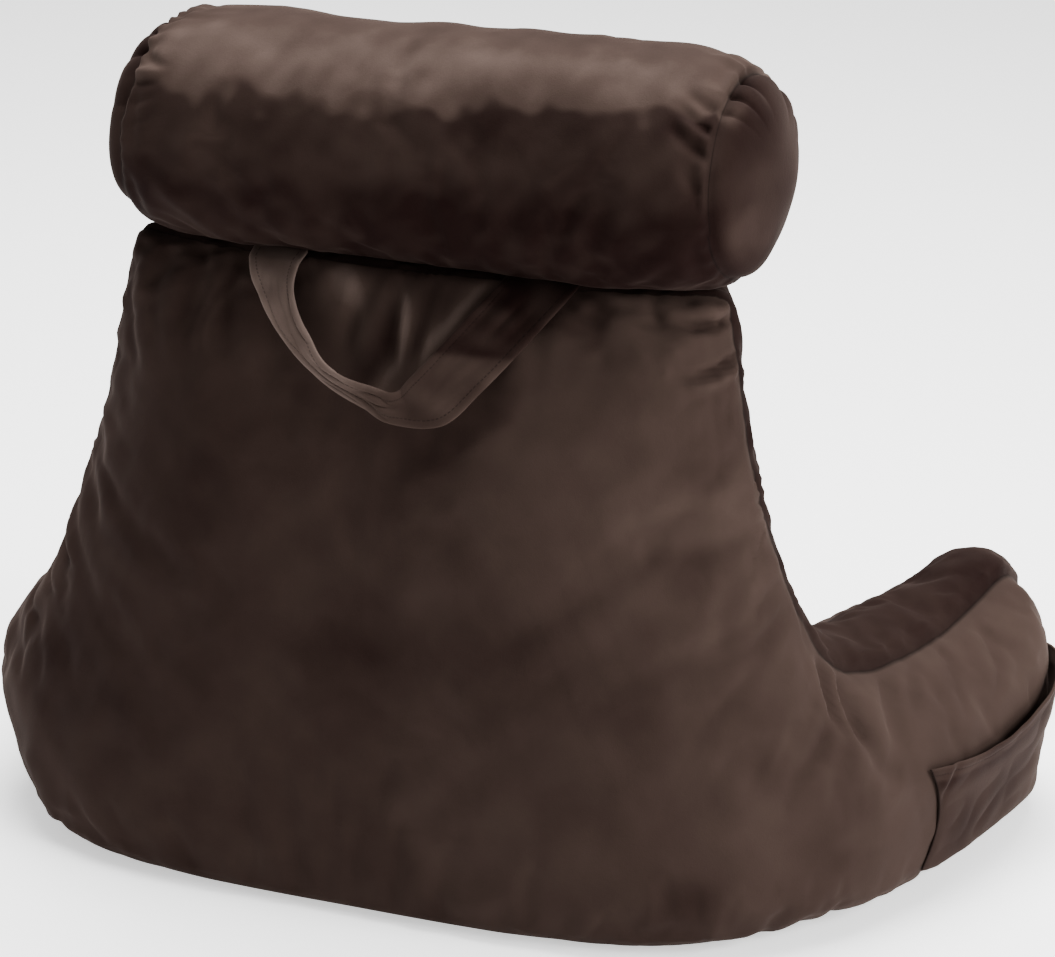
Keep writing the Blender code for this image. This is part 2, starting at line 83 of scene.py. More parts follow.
def smooth_table(rows: Sequence[Sequence[float]], samples: int) -> np.ndarray:
    """Reads a short table closely along a smooth curve through its rows.

    Args:
        rows: the table, one row of numbers for each station.
        samples: how many evenly spaced rows to return.

    Returns:
        An array of samples rows with the table's columns.
    """
    table = np.array(rows, dtype=float)
    padded = np.vstack([2 * table[0] - table[1], table, 2 * table[-1] - table[-2]])
    position = np.linspace(0, len(table) - 1, samples)
    first = np.minimum(position.astype(int), len(table) - 2)
    part = (position - first)[:, None]
    before, start, end, after = (padded[first + step] for step in range(4))
    return 0.5 * (
        2 * start
        + (end - before) * part
        + (2 * before - 5 * start + 4 * end - after) * part**2
        + (3 * start - before - 3 * end + after) * part**3
    )


def smooth_step(low: float, high: float, value: np.ndarray) -> np.ndarray:
    """Rises softly from 0 at low to 1 at high."""
    part = np.clip((value - low) / (high - low), 0, 1)
    return part * part * (3 - 2 * part)


def soft_noise(points: np.ndarray, wavelength: float, seed: int, waves: int = 24) -> np.ndarray:
    """Smooth uneven noise between about -1 and 1, from a seeded sum of plane waves.

    Args:
        points: places, one row each.
        wavelength: the distance over which it changes, in metres.
        seed: which noise to make.
        waves: how many plane waves are added.

    Returns:
        One value for each point.
    """
    chance = np.random.default_rng(seed)
    directions = chance.normal(size=(waves, points.shape[1]))
    directions /= np.linalg.norm(directions, axis=1)[:, None]
    rates = 2 * math.pi / wavelength * chance.uniform(0.6, 1.5, waves)
    phases = chance.uniform(0, 2 * math.pi, waves)
    return np.cos(points @ (directions * rates[:, None]).T + phases).sum(axis=1) / math.sqrt(waves / 1.6)


def mesh_points(data: bpy.types.Mesh) -> np.ndarray:
    """All vertex places of a mesh, one row each."""
    flat = np.empty(len(data.vertices) * 3)
    data.vertices.foreach_get("co", flat)
    return flat.reshape(-1, 3)


def set_mesh_points(data: bpy.types.Mesh, points: np.ndarray) -> None:
    """Moves all vertices of a mesh to new places."""
    data.vertices.foreach_set("co", points.ravel())
    data.update()


def mesh_normals(data: bpy.types.Mesh) -> np.ndarray:
    """All vertex normals of a mesh, one row each."""
    flat = np.empty(len(data.vertices) * 3)
    data.vertex_normals.foreach_get("vector", flat)
    return flat.reshape(-1, 3)


def mesh_edges(data: bpy.types.Mesh) -> np.ndarray:
    """The two vertex numbers of each edge of a mesh."""
    flat = np.empty(len(data.edges) * 2, dtype=np.int64)
    data.edges.foreach_get("vertices", flat)
    return flat.reshape(-1, 2)


def set_attribute(data: bpy.types.Mesh, name: str, values: np.ndarray) -> None:
    """Stores one number for each vertex under a name that materials can read."""
    made = data.attributes.get(name) or data.attributes.new(name, "FLOAT", "POINT")
    made.data.foreach_set("value", values.astype(np.float32))


def make_piece(name: str, mesh: bmesh.types.BMesh) -> bpy.types.Object:
    """Turns a bmesh into a smooth-shaded object in the scene, and frees the bmesh."""
    data = bpy.data.meshes.new(name)
    mesh.to_mesh(data)
    mesh.free()
    data.shade_smooth()
    made = bpy.data.objects.new(name, data)
    bpy.context.scene.collection.objects.link(made)
    return made


def bake_modifiers(piece: bpy.types.Object) -> None:
    """Replaces a piece's mesh by its evaluated one and removes its modifiers."""
    graph = bpy.context.evaluated_depsgraph_get()
    made = bpy.data.meshes.new_from_object(piece.evaluated_get(graph), depsgraph=graph)
    piece.modifiers.clear()
    old = piece.data
    piece.data = made
    bpy.data.meshes.remove(old)
    made.name = piece.name
    made.shade_smooth()


def voxel_remesh(piece: bpy.types.Object, size: float) -> None:
    """Rebuilds a closed piece from even quads of the given size."""
    remesh = piece.modifiers.new("even quads", "REMESH")
    remesh.mode = "VOXEL"
    remesh.voxel_size = size
    remesh.use_smooth_shade = True
    bake_modifiers(piece)


def subdivide(piece: bpy.types.Object) -> None:
    """Adds one level of subdivision and keeps its result."""
    smooth = piece.modifiers.new("subdivision", "SUBSURF")
    smooth.levels = smooth.render_levels = 1
    bake_modifiers(piece)


def blurred(values: np.ndarray, edges: np.ndarray, rounds: int) -> np.ndarray:
    """Averages a value over neighbouring vertices again and again."""
    count = np.bincount(edges.ravel(), minlength=len(values))[:, None]
    for _ in range(rounds):
        total = np.zeros_like(values)
        for axis in range(values.shape[1]):
            total[:, axis] = np.bincount(edges[:, 0], values[edges[:, 1], axis], len(values))
            total[:, axis] += np.bincount(edges[:, 1], values[edges[:, 0], axis], len(values))
        values = 0.5 * values + 0.5 * total / np.maximum(count, 1)
    return values


@dataclass(frozen=True)
class ClothSettling:
    """Settles a filled piece's cover under its filling's pressure and keeps the wrinkles that form.

    Only the wrinkles stay: the slow swelling is taken out again, so the piece keeps its designed form.
    """

    pressure: float = 4.0
    frames: int = 20
    slack: float = 0.05
    cap: float = 0.006
    blur_rounds: int = 14
    quality: int = 5
    cloth_mass: float = 0.3
    stretch_stiffness: float = 18.0
    shear_stiffness: float = 6.0
    bending_stiffness: float = 0.35

    def run(self, piece: bpy.types.Object, held: np.ndarray) -> None:
        """Simulates the cover and applies its wrinkles.

        Args:
            piece: the piece, with no modifiers.
            held: for each vertex, 1 where it stays in place and 0 where it is free.
        """
        data = piece.data
        start = mesh_points(data)
        pins = piece.vertex_groups.new(name="held")
        pins.add([int(index) for index in np.flatnonzero(held > 0.5)], 1.0, "REPLACE")
        cloth = piece.modifiers.new("settling", "CLOTH")
        settings = cloth.settings
        settings.quality = self.quality
        settings.mass = self.cloth_mass
        settings.tension_stiffness = settings.compression_stiffness = self.stretch_stiffness
        settings.shear_stiffness = self.shear_stiffness
        settings.bending_stiffness = self.bending_stiffness
        settings.use_pressure = True
        settings.uniform_pressure_force = self.pressure
        settings.shrink_min = -self.slack
        settings.vertex_group_mass = pins.name
        settings.effector_weights.gravity = 0
        cloth.collision_settings.use_collision = False
        cloth.point_cache.frame_start = 1
        cloth.point_cache.frame_end = self.frames
        for frame in range(1, self.frames + 1):
            bpy.context.scene.frame_set(frame)
        graph = bpy.context.evaluated_depsgraph_get()
        shown = piece.evaluated_get(graph).to_mesh()
        moved = mesh_points(shown) - start
        piece.evaluated_get(graph).to_mesh_clear()
        piece.modifiers.clear()
        piece.vertex_groups.clear()
        bpy.context.scene.frame_set(1)
        wrinkles = moved - blurred(moved, mesh_edges(data), self.blur_rounds)
        length = np.linalg.norm(wrinkles, axis=1)[:, None]
        wrinkles *= self.cap * np.tanh(length / self.cap) / np.maximum(length, 1e-9)
        set_mesh_points(data, start + wrinkles)
        LOG.info("settled %s, wrinkles up to %.1f mm", piece.name, 1000 * float(length.max()))


# Panel coordinates


@dataclass(frozen=True)
class PanelMark:
    """A long soft mark through s, z on a panel; angle is the way it runs, in degrees up from +s."""

    s: float
    z: float
    angle: float
    length: float
    width: float

    def spread(self, s: np.ndarray, z: np.ndarray) -> np.ndarray:
        """The mark's strength at s, z: 1 in its middle, fading over its width and length."""
        turn = math.radians(self.angle)
        along = (s - self.s) * math.cos(turn) + (z - self.z) * math.sin(turn)
        across = (z - self.z) * math.cos(turn) - (s - self.s) * math.sin(turn)
        bow = across - 0.15 * self.length * (along / self.length) ** 2
        return np.exp(-((bow / self.width) ** 2) - (along / self.length) ** 4)


@dataclass(frozen=True)
class Fold(PanelMark):
    """A trough in a panel, or a ridge where its depth is negative."""

    depth: float


@dataclass(frozen=True)
class PileAndLightPatch(PanelMark):
    """An area made lighter, or darker where its lift is negative: a patch of stroked pile, and where it lies
    on folds and shadows, painted highlight and shade.
    """

    lift: float


@dataclass(frozen=True)
class ArmShape:
    """How an arm differs from its twin."""

    lean: float
    inset: float
    roll_in: float
    rise: float


@dataclass
class PanelPlan:
    """The cover's cutting plan: where its plump panels reach in plan and how high their seams run."""

    gusset_half: float = 0.044
    base_lift: float = 0.003
    base_roll_in: float = 0.060
    back_lean: float = 0.042
    lean_power: float = 1.6
    side_shift: float = 0.022
    side_lean: float = 0.012
    crown_power: float = 2.2
    crown_reach_arm: float = 0.088
    crown_reach_back: float = 0.225
    arm_seam_height: float = 0.200
    back_seam_height: float = 0.510
    arm_front_crown: float = 0.024
    arm_from: float = 0.24
    arm_to: float = 0.40
    left_arm: ArmShape = ArmShape(lean=0.042, inset=0.001, roll_in=0.150, rise=0.3)
    right_arm: ArmShape = ArmShape(lean=0.018, inset=0.004, roll_in=0.030, rise=1.0)
    top_limit: float = 0.5091
    seam_dip: float = 0.0035
    seam_dip_reach: float = 0.012
    lump_depth: float = 0.0020
    lump_length: float = 0.26
    lump_fade: float = 0.04
    gusset_power: float = 0.6
    frame_shift: Vector = field(default_factory=lambda: Vector((-0.01332, 0.07201, 0.0)))
    samples: int = 900
    # Outer panel's reach x, y; inner panel's reach x, y; half the base panel's width
    stations: tuple[tuple[float, ...], ...] = (
        (0.000, 0.197, 0.000, 0.004, 0.090),
        (0.080, 0.197, 0.066, 0.004, 0.090),
        (0.160, 0.195, 0.126, 0.000, 0.089),
        (0.234, 0.184, 0.166, -0.009, 0.087),
        (0.288, 0.165, 0.189, -0.022, 0.080),
        (0.324, 0.140, 0.198, -0.034, 0.069),
        (0.356, 0.109, 0.206, -0.050, 0.052),
        (0.384, 0.071, 0.214, -0.072, 0.035),
        (0.404, 0.026, 0.221, -0.100, 0.031),
        (0.419, -0.038, 0.230, -0.138, 0.040),
        (0.429, -0.107, 0.240, -0.182, 0.056),
        (0.436, -0.180, 0.251, -0.228, 0.066),
        (0.438, -0.236, 0.259, -0.262, 0.072),
        (0.435, -0.272, 0.264, -0.286, 0.073),
        (0.428, -0.296, 0.269, -0.301, 0.071),
        (0.419, -0.311, 0.276, -0.312, 0.066),
    )
    # Distance along s; height of the seam there; bulge of the gusset beyond it on the -X side and on
    # the fuller +X side; how much higher the inner panel's seam runs
    seam_line: tuple[tuple[float, ...], ...] = (
        (0.000, 0.507, 0.000, 0.000, 0.000),
        (0.234, 0.509, 0.000, 0.000, 0.000),
        (0.243, 0.500, 0.003, 0.005, 0.000),
        (0.252, 0.446, 0.004, 0.007, 0.000),
        (0.261, 0.392, 0.004, 0.007, 0.000),
        (0.276, 0.331, 0.004, 0.007, 0.000),
        (0.292, 0.284, 0.005, 0.009, 0.000),
        (0.309, 0.241, 0.008, 0.016, 0.002),
        (0.324, 0.214, 0.010, 0.023, 0.005),
        (0.345, 0.194, 0.012, 0.028, 0.008),
        (0.380, 0.185, 0.013, 0.030, 0.011),
        (0.430, 0.183, 0.013, 0.029, 0.013),
        (0.480, 0.185, 0.013, 0.026, 0.008),
        (0.523, 0.195, 0.014, 0.022, -0.006),
        (0.562, 0.205, 0.016, 0.019, -0.016),
        (0.582, 0.203, 0.020, 0.020, -0.015),
        (0.606, 0.186, 0.023, 0.022, -0.006),
        (0.632, 0.152, 0.024, 0.023, 0.000),
        (0.656, 0.100, 0.024, 0.024, 0.000),
    )
    seam_rounding: int = 7
    read_from: dict[str, np.ndarray] = field(init=False)

    def __post_init__(self) -> None:
        """Works out the closely sampled columns that every point is read from."""
        rows = smooth_table(self.stations, self.samples)
        outer, inner = rows[:, 0:2], rows[:, 2:4]
        middle, across = (outer + inner) / 2, outer - inner
        width = np.linalg.norm(across, axis=1)
        s = np.concatenate([[0], np.cumsum(np.linalg.norm(np.diff(middle, axis=0), axis=1))])
        line = np.array(self.seam_line)
        seam, crown, full_crown, rise = (
            self.rounded(np.interp(s, line[:, 0], line[:, column])) for column in range(1, 5)
        )
        self.read_from = {
            "s": s,
            "middle_x": middle[:, 0],
            "middle_y": middle[:, 1],
            "out_x": across[:, 0] / width,
            "out_y": across[:, 1] / width,
            "half": width / 2,
            "base": rows[:, 4],
            "seam": seam,
            "crown": crown,
            "full_crown": full_crown,
            "rise": rise,
            "edge": np.concatenate([[0], np.cumsum(np.hypot(np.diff(s), np.diff(seam)))]),
        }

    def rounded(self, values: np.ndarray) -> np.ndarray:
        """A column with its corners rounded over a few samples, its two ends kept."""
        reach = self.seam_rounding // 2
        padded = np.pad(values, reach, mode="reflect", reflect_type="odd")
        return np.convolve(padded, np.full(self.seam_rounding, 1 / self.seam_rounding), mode="valid")

    @property
    def arm_end(self) -> float:
        """The distance s of the arms' fronts."""
        return float(self.read_from["s"][-1])

    def read(self, column: str, s: np.ndarray) -> np.ndarray:
        """A column at signed distances s; x columns change sign with s."""
        value = np.interp(np.abs(s), self.read_from["s"], self.read_from[column])
        return np.where(s < 0, -value, value) if column.endswith("_x") else value

    def of_arm(self, name: str, s: np.ndarray) -> np.ndarray:
        """A size of the arm that each s runs towards."""
        return np.where(s < 0, getattr(self.right_arm, name), getattr(self.left_arm, name))

    def edge_distance(self, s: np.ndarray, z: np.ndarray) -> np.ndarray:
        """Distance in the flat panel from s, z to its seam with the gusset."""
        line_s = np.concatenate([self.read_from["s"][::6], [self.arm_end, self.arm_end]])
        line_z = np.concatenate([self.read_from["seam"][::6], [self.read_from["seam"][-1], 0.0]])
        start = np.stack([line_s[:-1], line_z[:-1]], axis=1)
        run = np.stack([np.diff(line_s), np.diff(line_z)], axis=1)
        square = np.maximum((run**2).sum(axis=1), 1e-12)
        found = np.empty(len(s))
        for begin in range(0, len(s), 5000):
            part = slice(begin, begin + 5000)
            point = np.stack([np.abs(s[part]), z[part]], axis=1)[:, None, :] - start[None]
            share = np.clip((point * run[None]).sum(axis=2) / square, 0, 1)
            found[part] = np.linalg.norm(point - run[None] * share[:, :, None], axis=2).min(axis=1)
        return found

    def half_thickness(self, s: np.ndarray, z: np.ndarray, side: Side) -> np.ndarray:
        """How far the outer or inner panel stands from the middle of the filling."""
        seam = self.read("seam", s)
        span = self.back_seam_height - self.arm_seam_height
        tallness = np.clip((seam - self.arm_seam_height) / span, 0, 1)
        reach = self.crown_reach_arm + (self.crown_reach_back - self.crown_reach_arm) * tallness
        inward = self.edge_distance(s, z)
        crown = 1 - (1 - np.minimum(inward / reach, 1)) ** self.crown_power
        full = self.gusset_half + (self.read("half", s) - self.gusset_half) * crown
        lumps = soft_noise(np.stack([s, z], axis=1), self.lump_length, 5 + side.value) * self.lump_depth
        full = full + lumps * np.minimum(inward / self.lump_fade, 1)
        full = full - self.seam_dip * np.exp(-inward / self.seam_dip_reach)
        arm_share = smooth_step(self.arm_from, self.arm_to, np.abs(s))
        roll_in = self.base_roll_in + (self.of_arm("roll_in", s) - self.base_roll_in) * arm_share
        rolled = np.sqrt(1 - (1 - np.clip(z / roll_in, 0, 1)) ** 2)
        base = self.read("base", s)
        return np.where(full > base, base + (full - base) * rolled, full)

    def in_space(self, s: np.ndarray, z: np.ndarray, n: np.ndarray) -> np.ndarray:
        """Places in the part's frame of points in panel coordinates, one row each."""
        lean = self.back_lean * (np.maximum(z, 0) / self.back_seam_height) ** self.lean_power
        beyond = np.maximum(np.abs(s) - self.arm_end, 0)
        ahead = np.array(
            [self.read_from[name][-1] - self.read_from[name][-20] for name in ("middle_x", "middle_y")]
        )
        ahead /= np.linalg.norm(ahead)
        outwards = self.of_arm("lean", s) * (np.minimum(z / self.arm_seam_height, 1) - 0.5)
        outwards = (outwards - self.of_arm("inset", s)) * smooth_step(self.arm_from, self.arm_to, np.abs(s))
        aside = self.side_shift - self.side_lean * z / self.back_seam_height + np.sign(s) * outwards
        return np.stack(
            [
                self.read("middle_x", s) + self.read("out_x", s) * n + ahead[0] * beyond * np.sign(s) + aside,
                self.read("middle_y", s) + self.read("out_y", s) * n + ahead[1] * beyond - lean,
                z,
            ],
            axis=1,
        ) + np.array(self.frame_shift)

    def edge_outward(self, s: np.ndarray) -> tuple[np.ndarray, np.ndarray]:
        """Direction away from the panel at its seam over s, as its shares along s and upwards."""
        step = 0.004
        low, high = np.maximum(np.abs(s) - step, 0), np.minimum(np.abs(s) + step, self.arm_end)
        rise, run = self.read("seam", high) - self.read("seam", low), high - low
        length = np.hypot(rise, run)
        return -rise / length * np.where(s < 0, -1, 1), run / length

    def cage_points(self, column: np.ndarray, row: np.ndarray, layer: np.ndarray) -> np.ndarray:
        """Places of cage points: column -1 to 1 round the horseshoe, row 0 to 1 up, layer -1 to 1 outwards."""
        edge = self.read_from["edge"]
        s = np.interp(np.abs(column) * edge[-1], edge, self.read_from["s"]) * np.where(column < 0, -1, 1)
        z = row * self.read("seam", s)
        outer, inner = layer > 0.9999, layer < -0.9999
        n = layer * np.where(row > 0, self.gusset_half - self.seam_dip, self.read("base", s))
        n[outer] = self.half_thickness(s[outer], z[outer], Side.OUTER)
        n[inner] = -self.half_thickness(s[inner], z[inner], Side.INNER)
        fullness = np.maximum(1 - layer**2, 0) ** self.gusset_power
        top, front, under = row > 0.9999, np.abs(column) > 0.9999, row < 0.0001
        away_s, away_z = self.edge_outward(s)
        crown = np.where(s < 0, self.read("crown", s), self.read("full_crown", s)) * fullness * top
        s, z = s + away_s * crown, z + away_z * crown
        ahead = self.read("crown", np.array(self.arm_end)) * row
        ahead = ahead + self.arm_front_crown * (0.3 * (1 - row) + 0.5 * np.sin(math.pi * row))
        s = s + np.sign(s) * ahead * fullness * (front & ~top)
        z = np.where(under, self.base_lift * np.maximum(np.abs(layer) ** 8, np.abs(column) ** 60), z)
        z = z + self.read("rise", s) * self.of_arm("rise", s) * row * (1 - layer) / 2
        return self.in_space(s, np.minimum(z, self.top_limit), n)


@dataclass
class FilledBody:
    """The filled back and arms: two bell-shaped panels, the gusset strip between them and the base panel."""

    plan: PanelPlan
    columns: int = 150
    rows: int = 34
    layers: int = 8
    voxel: float = 0.0078
    pin_reach: float = 0.007
    pucker_depth: float = 0.0011
    pucker_spacing: float = 0.024
    pucker_reach: float = 0.020
    pucker_wander: float = 0.012
    groove_depth: float = 0.0016
    groove_reach: float = 0.004
    groove_light: float = 0.05
    fold_clearance: float = 0.007
    ripple_depth: float = 0.0006
    ripple_length: float = 0.045
    foot_reach: float = 0.02
    # Painted shade in a fold: how much darker the colour gets for each metre of its depth, and lighter on a
    # ridge
    fold_shade: float = 16.0
    outer_folds: tuple[Fold, ...] = (
        Fold(-0.232, 0.487, -5, 0.027, 0.0034, 0.0085),
        Fold(-0.230, 0.497, -6, 0.024, 0.0050, -0.0052),
        Fold(-0.243, 0.457, -26, 0.026, 0.0036, 0.0078),
        Fold(-0.240, 0.448, -24, 0.022, 0.0048, -0.0050),
        Fold(-0.214, 0.500, 60, 0.014, 0.0045, 0.0022),
        Fold(-0.190, 0.498, 70, 0.014, 0.0045, 0.0036),
        Fold(-0.243, 0.376, -44, 0.026, 0.0080, 0.0034),
        Fold(-0.230, 0.314, -5, 0.034, 0.0090, 0.0032),
        Fold(-0.260, 0.237, -27, 0.030, 0.0080, 0.0032),
        Fold(-0.276, 0.292, -35, 0.026, 0.0080, -0.0026),
        Fold(-0.322, 0.190, 80, 0.026, 0.0048, 0.0078),
        Fold(-0.338, 0.175, 76, 0.024, 0.0048, 0.0062),
        Fold(-0.330, 0.182, 78, 0.024, 0.0050, -0.0030),
        Fold(-0.313, 0.196, 76, 0.022, 0.0050, -0.0026),
        Fold(-0.309, 0.158, -58, 0.026, 0.0070, 0.0045),
        Fold(-0.352, 0.150, 62, 0.040, 0.0100, 0.0040),
        Fold(-0.330, 0.120, 58, 0.050, 0.0130, 0.0038),
        Fold(-0.290, 0.110, 64, 0.060, 0.0150, 0.0030),
        Fold(-0.416, 0.172, -48, 0.022, 0.0070, 0.0035),
        Fold(-0.380, 0.150, 88, 0.036, 0.0090, 0.0040),
        Fold(-0.509, 0.158, -68, 0.026, 0.0070, 0.0040),
        Fold(-0.460, 0.160, -80, 0.026, 0.0080, 0.0030),
        Fold(0.168, 0.470, 86, 0.050, 0.0100, 0.0040),
        Fold(0.136, 0.476, 84, 0.040, 0.0085, 0.0040),
        Fold(0.198, 0.462, 80, 0.046, 0.0090, 0.0030),
        Fold(0.224, 0.440, 74, 0.040, 0.0080, 0.0030),
        Fold(0.000, 0.460, 76, 0.034, 0.0060, 0.0050),
        Fold(-0.023, 0.462, 84, 0.034, 0.0070, 0.0045),
        Fold(0.030, 0.462, 88, 0.034, 0.0070, 0.0035),
        Fold(-0.155, 0.480, 80, 0.024, 0.0070, 0.0030),
        Fold(0.272, 0.236, 35, 0.022, 0.0060, 0.0045),
        Fold(0.288, 0.206, 30, 0.022, 0.0055, 0.0045),
        Fold(0.302, 0.178, 24, 0.022, 0.0055, 0.0040),
        Fold(0.246, 0.300, 60, 0.050, 0.0110, 0.0030),
        Fold(0.318, 0.300, 115, 0.060, 0.0120, 0.0045),
        Fold(0.400, 0.150, 95, 0.055, 0.0120, 0.0050),
        Fold(0.440, 0.150, 80, 0.050, 0.0120, 0.0040),
        Fold(0.120, 0.200, 28, 0.120, 0.0300, 0.0014),
        Fold(-0.060, 0.230, -16, 0.110, 0.0300, 0.0012),
        Fold(-0.150, 0.130, 24, 0.090, 0.0260, 0.0026),
    )
    inner_folds: tuple[Fold, ...] = (
        Fold(0.215, 0.160, 80, 0.080, 0.014, 0.0060),
        Fold(-0.210, 0.170, 98, 0.085, 0.014, 0.0060),
        Fold(0.180, 0.330, 70, 0.070, 0.013, 0.0040),
        Fold(-0.190, 0.310, 112, 0.070, 0.013, 0.0040),
        Fold(0.060, 0.460, 85, 0.050, 0.012, 0.0035),
        Fold(-0.090, 0.455, 95, 0.050, 0.012, 0.0035),
    )
    # The pile of each face of the cover before its patches of stroked pile and painted light are added
    outer_pile: float = 0.215
    inner_pile: float = 0.42
    gusset_pile: float = 0.08
    drift_reach: float = 0.018
    ragged_reach: float = 0.004
    # Patches on the outer panel: painted highlights on fold ridges and painted shade in fold troughs inside
    # the handle's loop and along the top, painted shadow of the roll and strap round the strap's roots, and
    # broad lighter and darker patches
    outer_pile_and_light_patches: tuple[PileAndLightPatch, ...] = (
        PileAndLightPatch(-0.480, 0.130, 0, 0.140, 0.090, 0.065),
        PileAndLightPatch(-0.610, 0.110, 0, 0.060, 0.120, 0.08),
        PileAndLightPatch(-0.090, 0.070, 8, 0.140, 0.050, 0.07),
        PileAndLightPatch(-0.010, 0.350, 80, 0.120, 0.050, -0.035),
        PileAndLightPatch(0.240, 0.190, 80, 0.170, 0.070, -0.03),
        PileAndLightPatch(0.150, 0.070, -6, 0.120, 0.035, 0.03),
        PileAndLightPatch(0.010, 0.484, 0, 0.056, 0.022, 0.18),
        PileAndLightPatch(0.046, 0.474, 84, 0.042, 0.015, 0.34),
        PileAndLightPatch(0.004, 0.462, 88, 0.036, 0.010, -0.06),
        PileAndLightPatch(-0.018, 0.474, 86, 0.038, 0.010, 0.52),
        PileAndLightPatch(-0.037, 0.474, 115, 0.024, 0.006, -0.08),
        PileAndLightPatch(-0.052, 0.481, 118, 0.036, 0.009, 0.54),
        PileAndLightPatch(-0.110, 0.498, 0, 0.040, 0.014, -0.03),
        PileAndLightPatch(-0.078, 0.462, 52, 0.040, 0.016, -0.05),
        PileAndLightPatch(-0.170, 0.480, 6, 0.034, 0.012, 0.05),
        PileAndLightPatch(-0.205, 0.492, 4, 0.024, 0.010, 0.07),
        PileAndLightPatch(0.136, 0.478, 86, 0.040, 0.007, 0.09),
        PileAndLightPatch(0.160, 0.470, 84, 0.040, 0.007, 0.07),
        PileAndLightPatch(0.190, 0.462, 80, 0.044, 0.009, 0.06),
        PileAndLightPatch(-0.255, 0.310, 66, 0.060, 0.016, 0.08),
        PileAndLightPatch(0.255, 0.300, 58, 0.120, 0.014, 0.08),
        PileAndLightPatch(0.470, 0.120, 0, 0.200, 0.120, 0.18),
    )
    # Where the outer panel is painted lighter towards -X, the side that the side lamp lights, the top of the
    # first edge following the edge of the roll's and the strap's shadow: the height, the s of the change, half
    # the change's width and how much lighter it gets
    mid_back_painted_light: tuple[tuple[float, ...], ...] = (
        (0.000, -0.068, 0.060, 0.03),
        (0.108, -0.063, 0.060, 0.04),
        (0.192, -0.065, 0.050, 0.05),
        (0.257, -0.071, 0.045, 0.07),
        (0.304, -0.059, 0.036, 0.09),
        (0.347, -0.042, 0.024, 0.14),
        (0.384, -0.034, 0.020, 0.14),
        (0.425, -0.088, 0.012, 0.14),
        (0.467, -0.118, 0.010, 0.18),
        (0.510, -0.148, 0.010, 0.17),
    )
    near_arm_painted_light: tuple[tuple[float, ...], ...] = (
        (0.000, -0.250, 0.070, 0.09),
        (0.105, -0.240, 0.070, 0.11),
        (0.206, -0.225, 0.060, 0.11),
        (0.246, -0.221, 0.030, 0.09),
        (0.281, -0.229, 0.045, 0.07),
        (0.318, -0.225, 0.045, 0.07),
        (0.359, -0.203, 0.026, 0.09),
        (0.395, -0.228, 0.016, 0.04),
        (0.432, -0.230, 0.014, 0.04),
        (0.510, -0.232, 0.012, 0.03),
    )
    # The strokes on the gusset strip, where z is the place across it, from -1 inside to 1 outside
    gusset_strokes: tuple[PileAndLightPatch, ...] = (
        PileAndLightPatch(-0.385, 0.0, 0, 0.034, 0.9, 0.04),
        PileAndLightPatch(-0.330, 0.4, 0, 0.020, 0.6, 0.08),
        PileAndLightPatch(-0.625, 0.0, 0, 0.045, 2.0, 0.14),
        PileAndLightPatch(0.450, 0.0, 0, 0.160, 2.0, 0.20),
    )

    def cage(self) -> bmesh.types.BMesh:
        """A box from -1 to 1 in x and y and 0 to 1 in z, cut into even stations along each axis."""
        mesh = bmesh.new()
        bmesh.ops.create_cube(mesh, size=2)
        bmesh.ops.scale(mesh, vec=(1, 1, 0.5), verts=mesh.verts)
        bmesh.ops.translate(mesh, vec=(0, 0, 0.5), verts=mesh.verts)
        spans = ((0, -1, 1, self.columns), (1, -1, 1, self.layers), (2, 0, 1, self.rows))
        for axis, low, high, count in spans:
            normal = Vector([float(index == axis) for index in range(3)])
            for station in np.linspace(low, high, count + 1)[1:-1]:
                bmesh.ops.bisect_plane(
                    mesh,
                    geom=mesh.verts[:] + mesh.edges[:] + mesh.faces[:],
                    plane_co=normal * float(station),
                    plane_no=normal,
                )
        return mesh

    def build(self) -> bpy.types.Object:
        """Makes the body with its settled wrinkles, seams and folds.

        Returns:
            The finished padded piece.
        """
        mesh = self.cage()
        bmesh.ops.triangulate(mesh, faces=mesh.faces)
        unit = np.array([vertex.co for vertex in mesh.verts])
        placed = self.plan.cage_points(unit[:, 0], unit[:, 2], unit[:, 1])
        for vertex, point in zip(mesh.verts, placed):
            vertex.co = point
        tree = BVHTree.FromBMesh(mesh)
        corners = np.array([[vertex.index for vertex in face.verts] for face in mesh.faces])
        piece = make_piece("velvet_back_and_arms", mesh)
        voxel_remesh(piece, self.voxel)
        coordinates = self.look_up(piece, tree, corners, unit, placed)
        held = (np.abs(self.seam_distance(coordinates)) < self.pin_reach) | (coordinates[:, 1] < 0.02)
        ClothSettling().run(piece, held.astype(float))
        subdivide(piece)
        self.dress(piece, self.look_up(piece, tree, corners, unit, placed))
        LOG.info("%s: %d faces", piece.name, len(piece.data.polygons))
        return piece

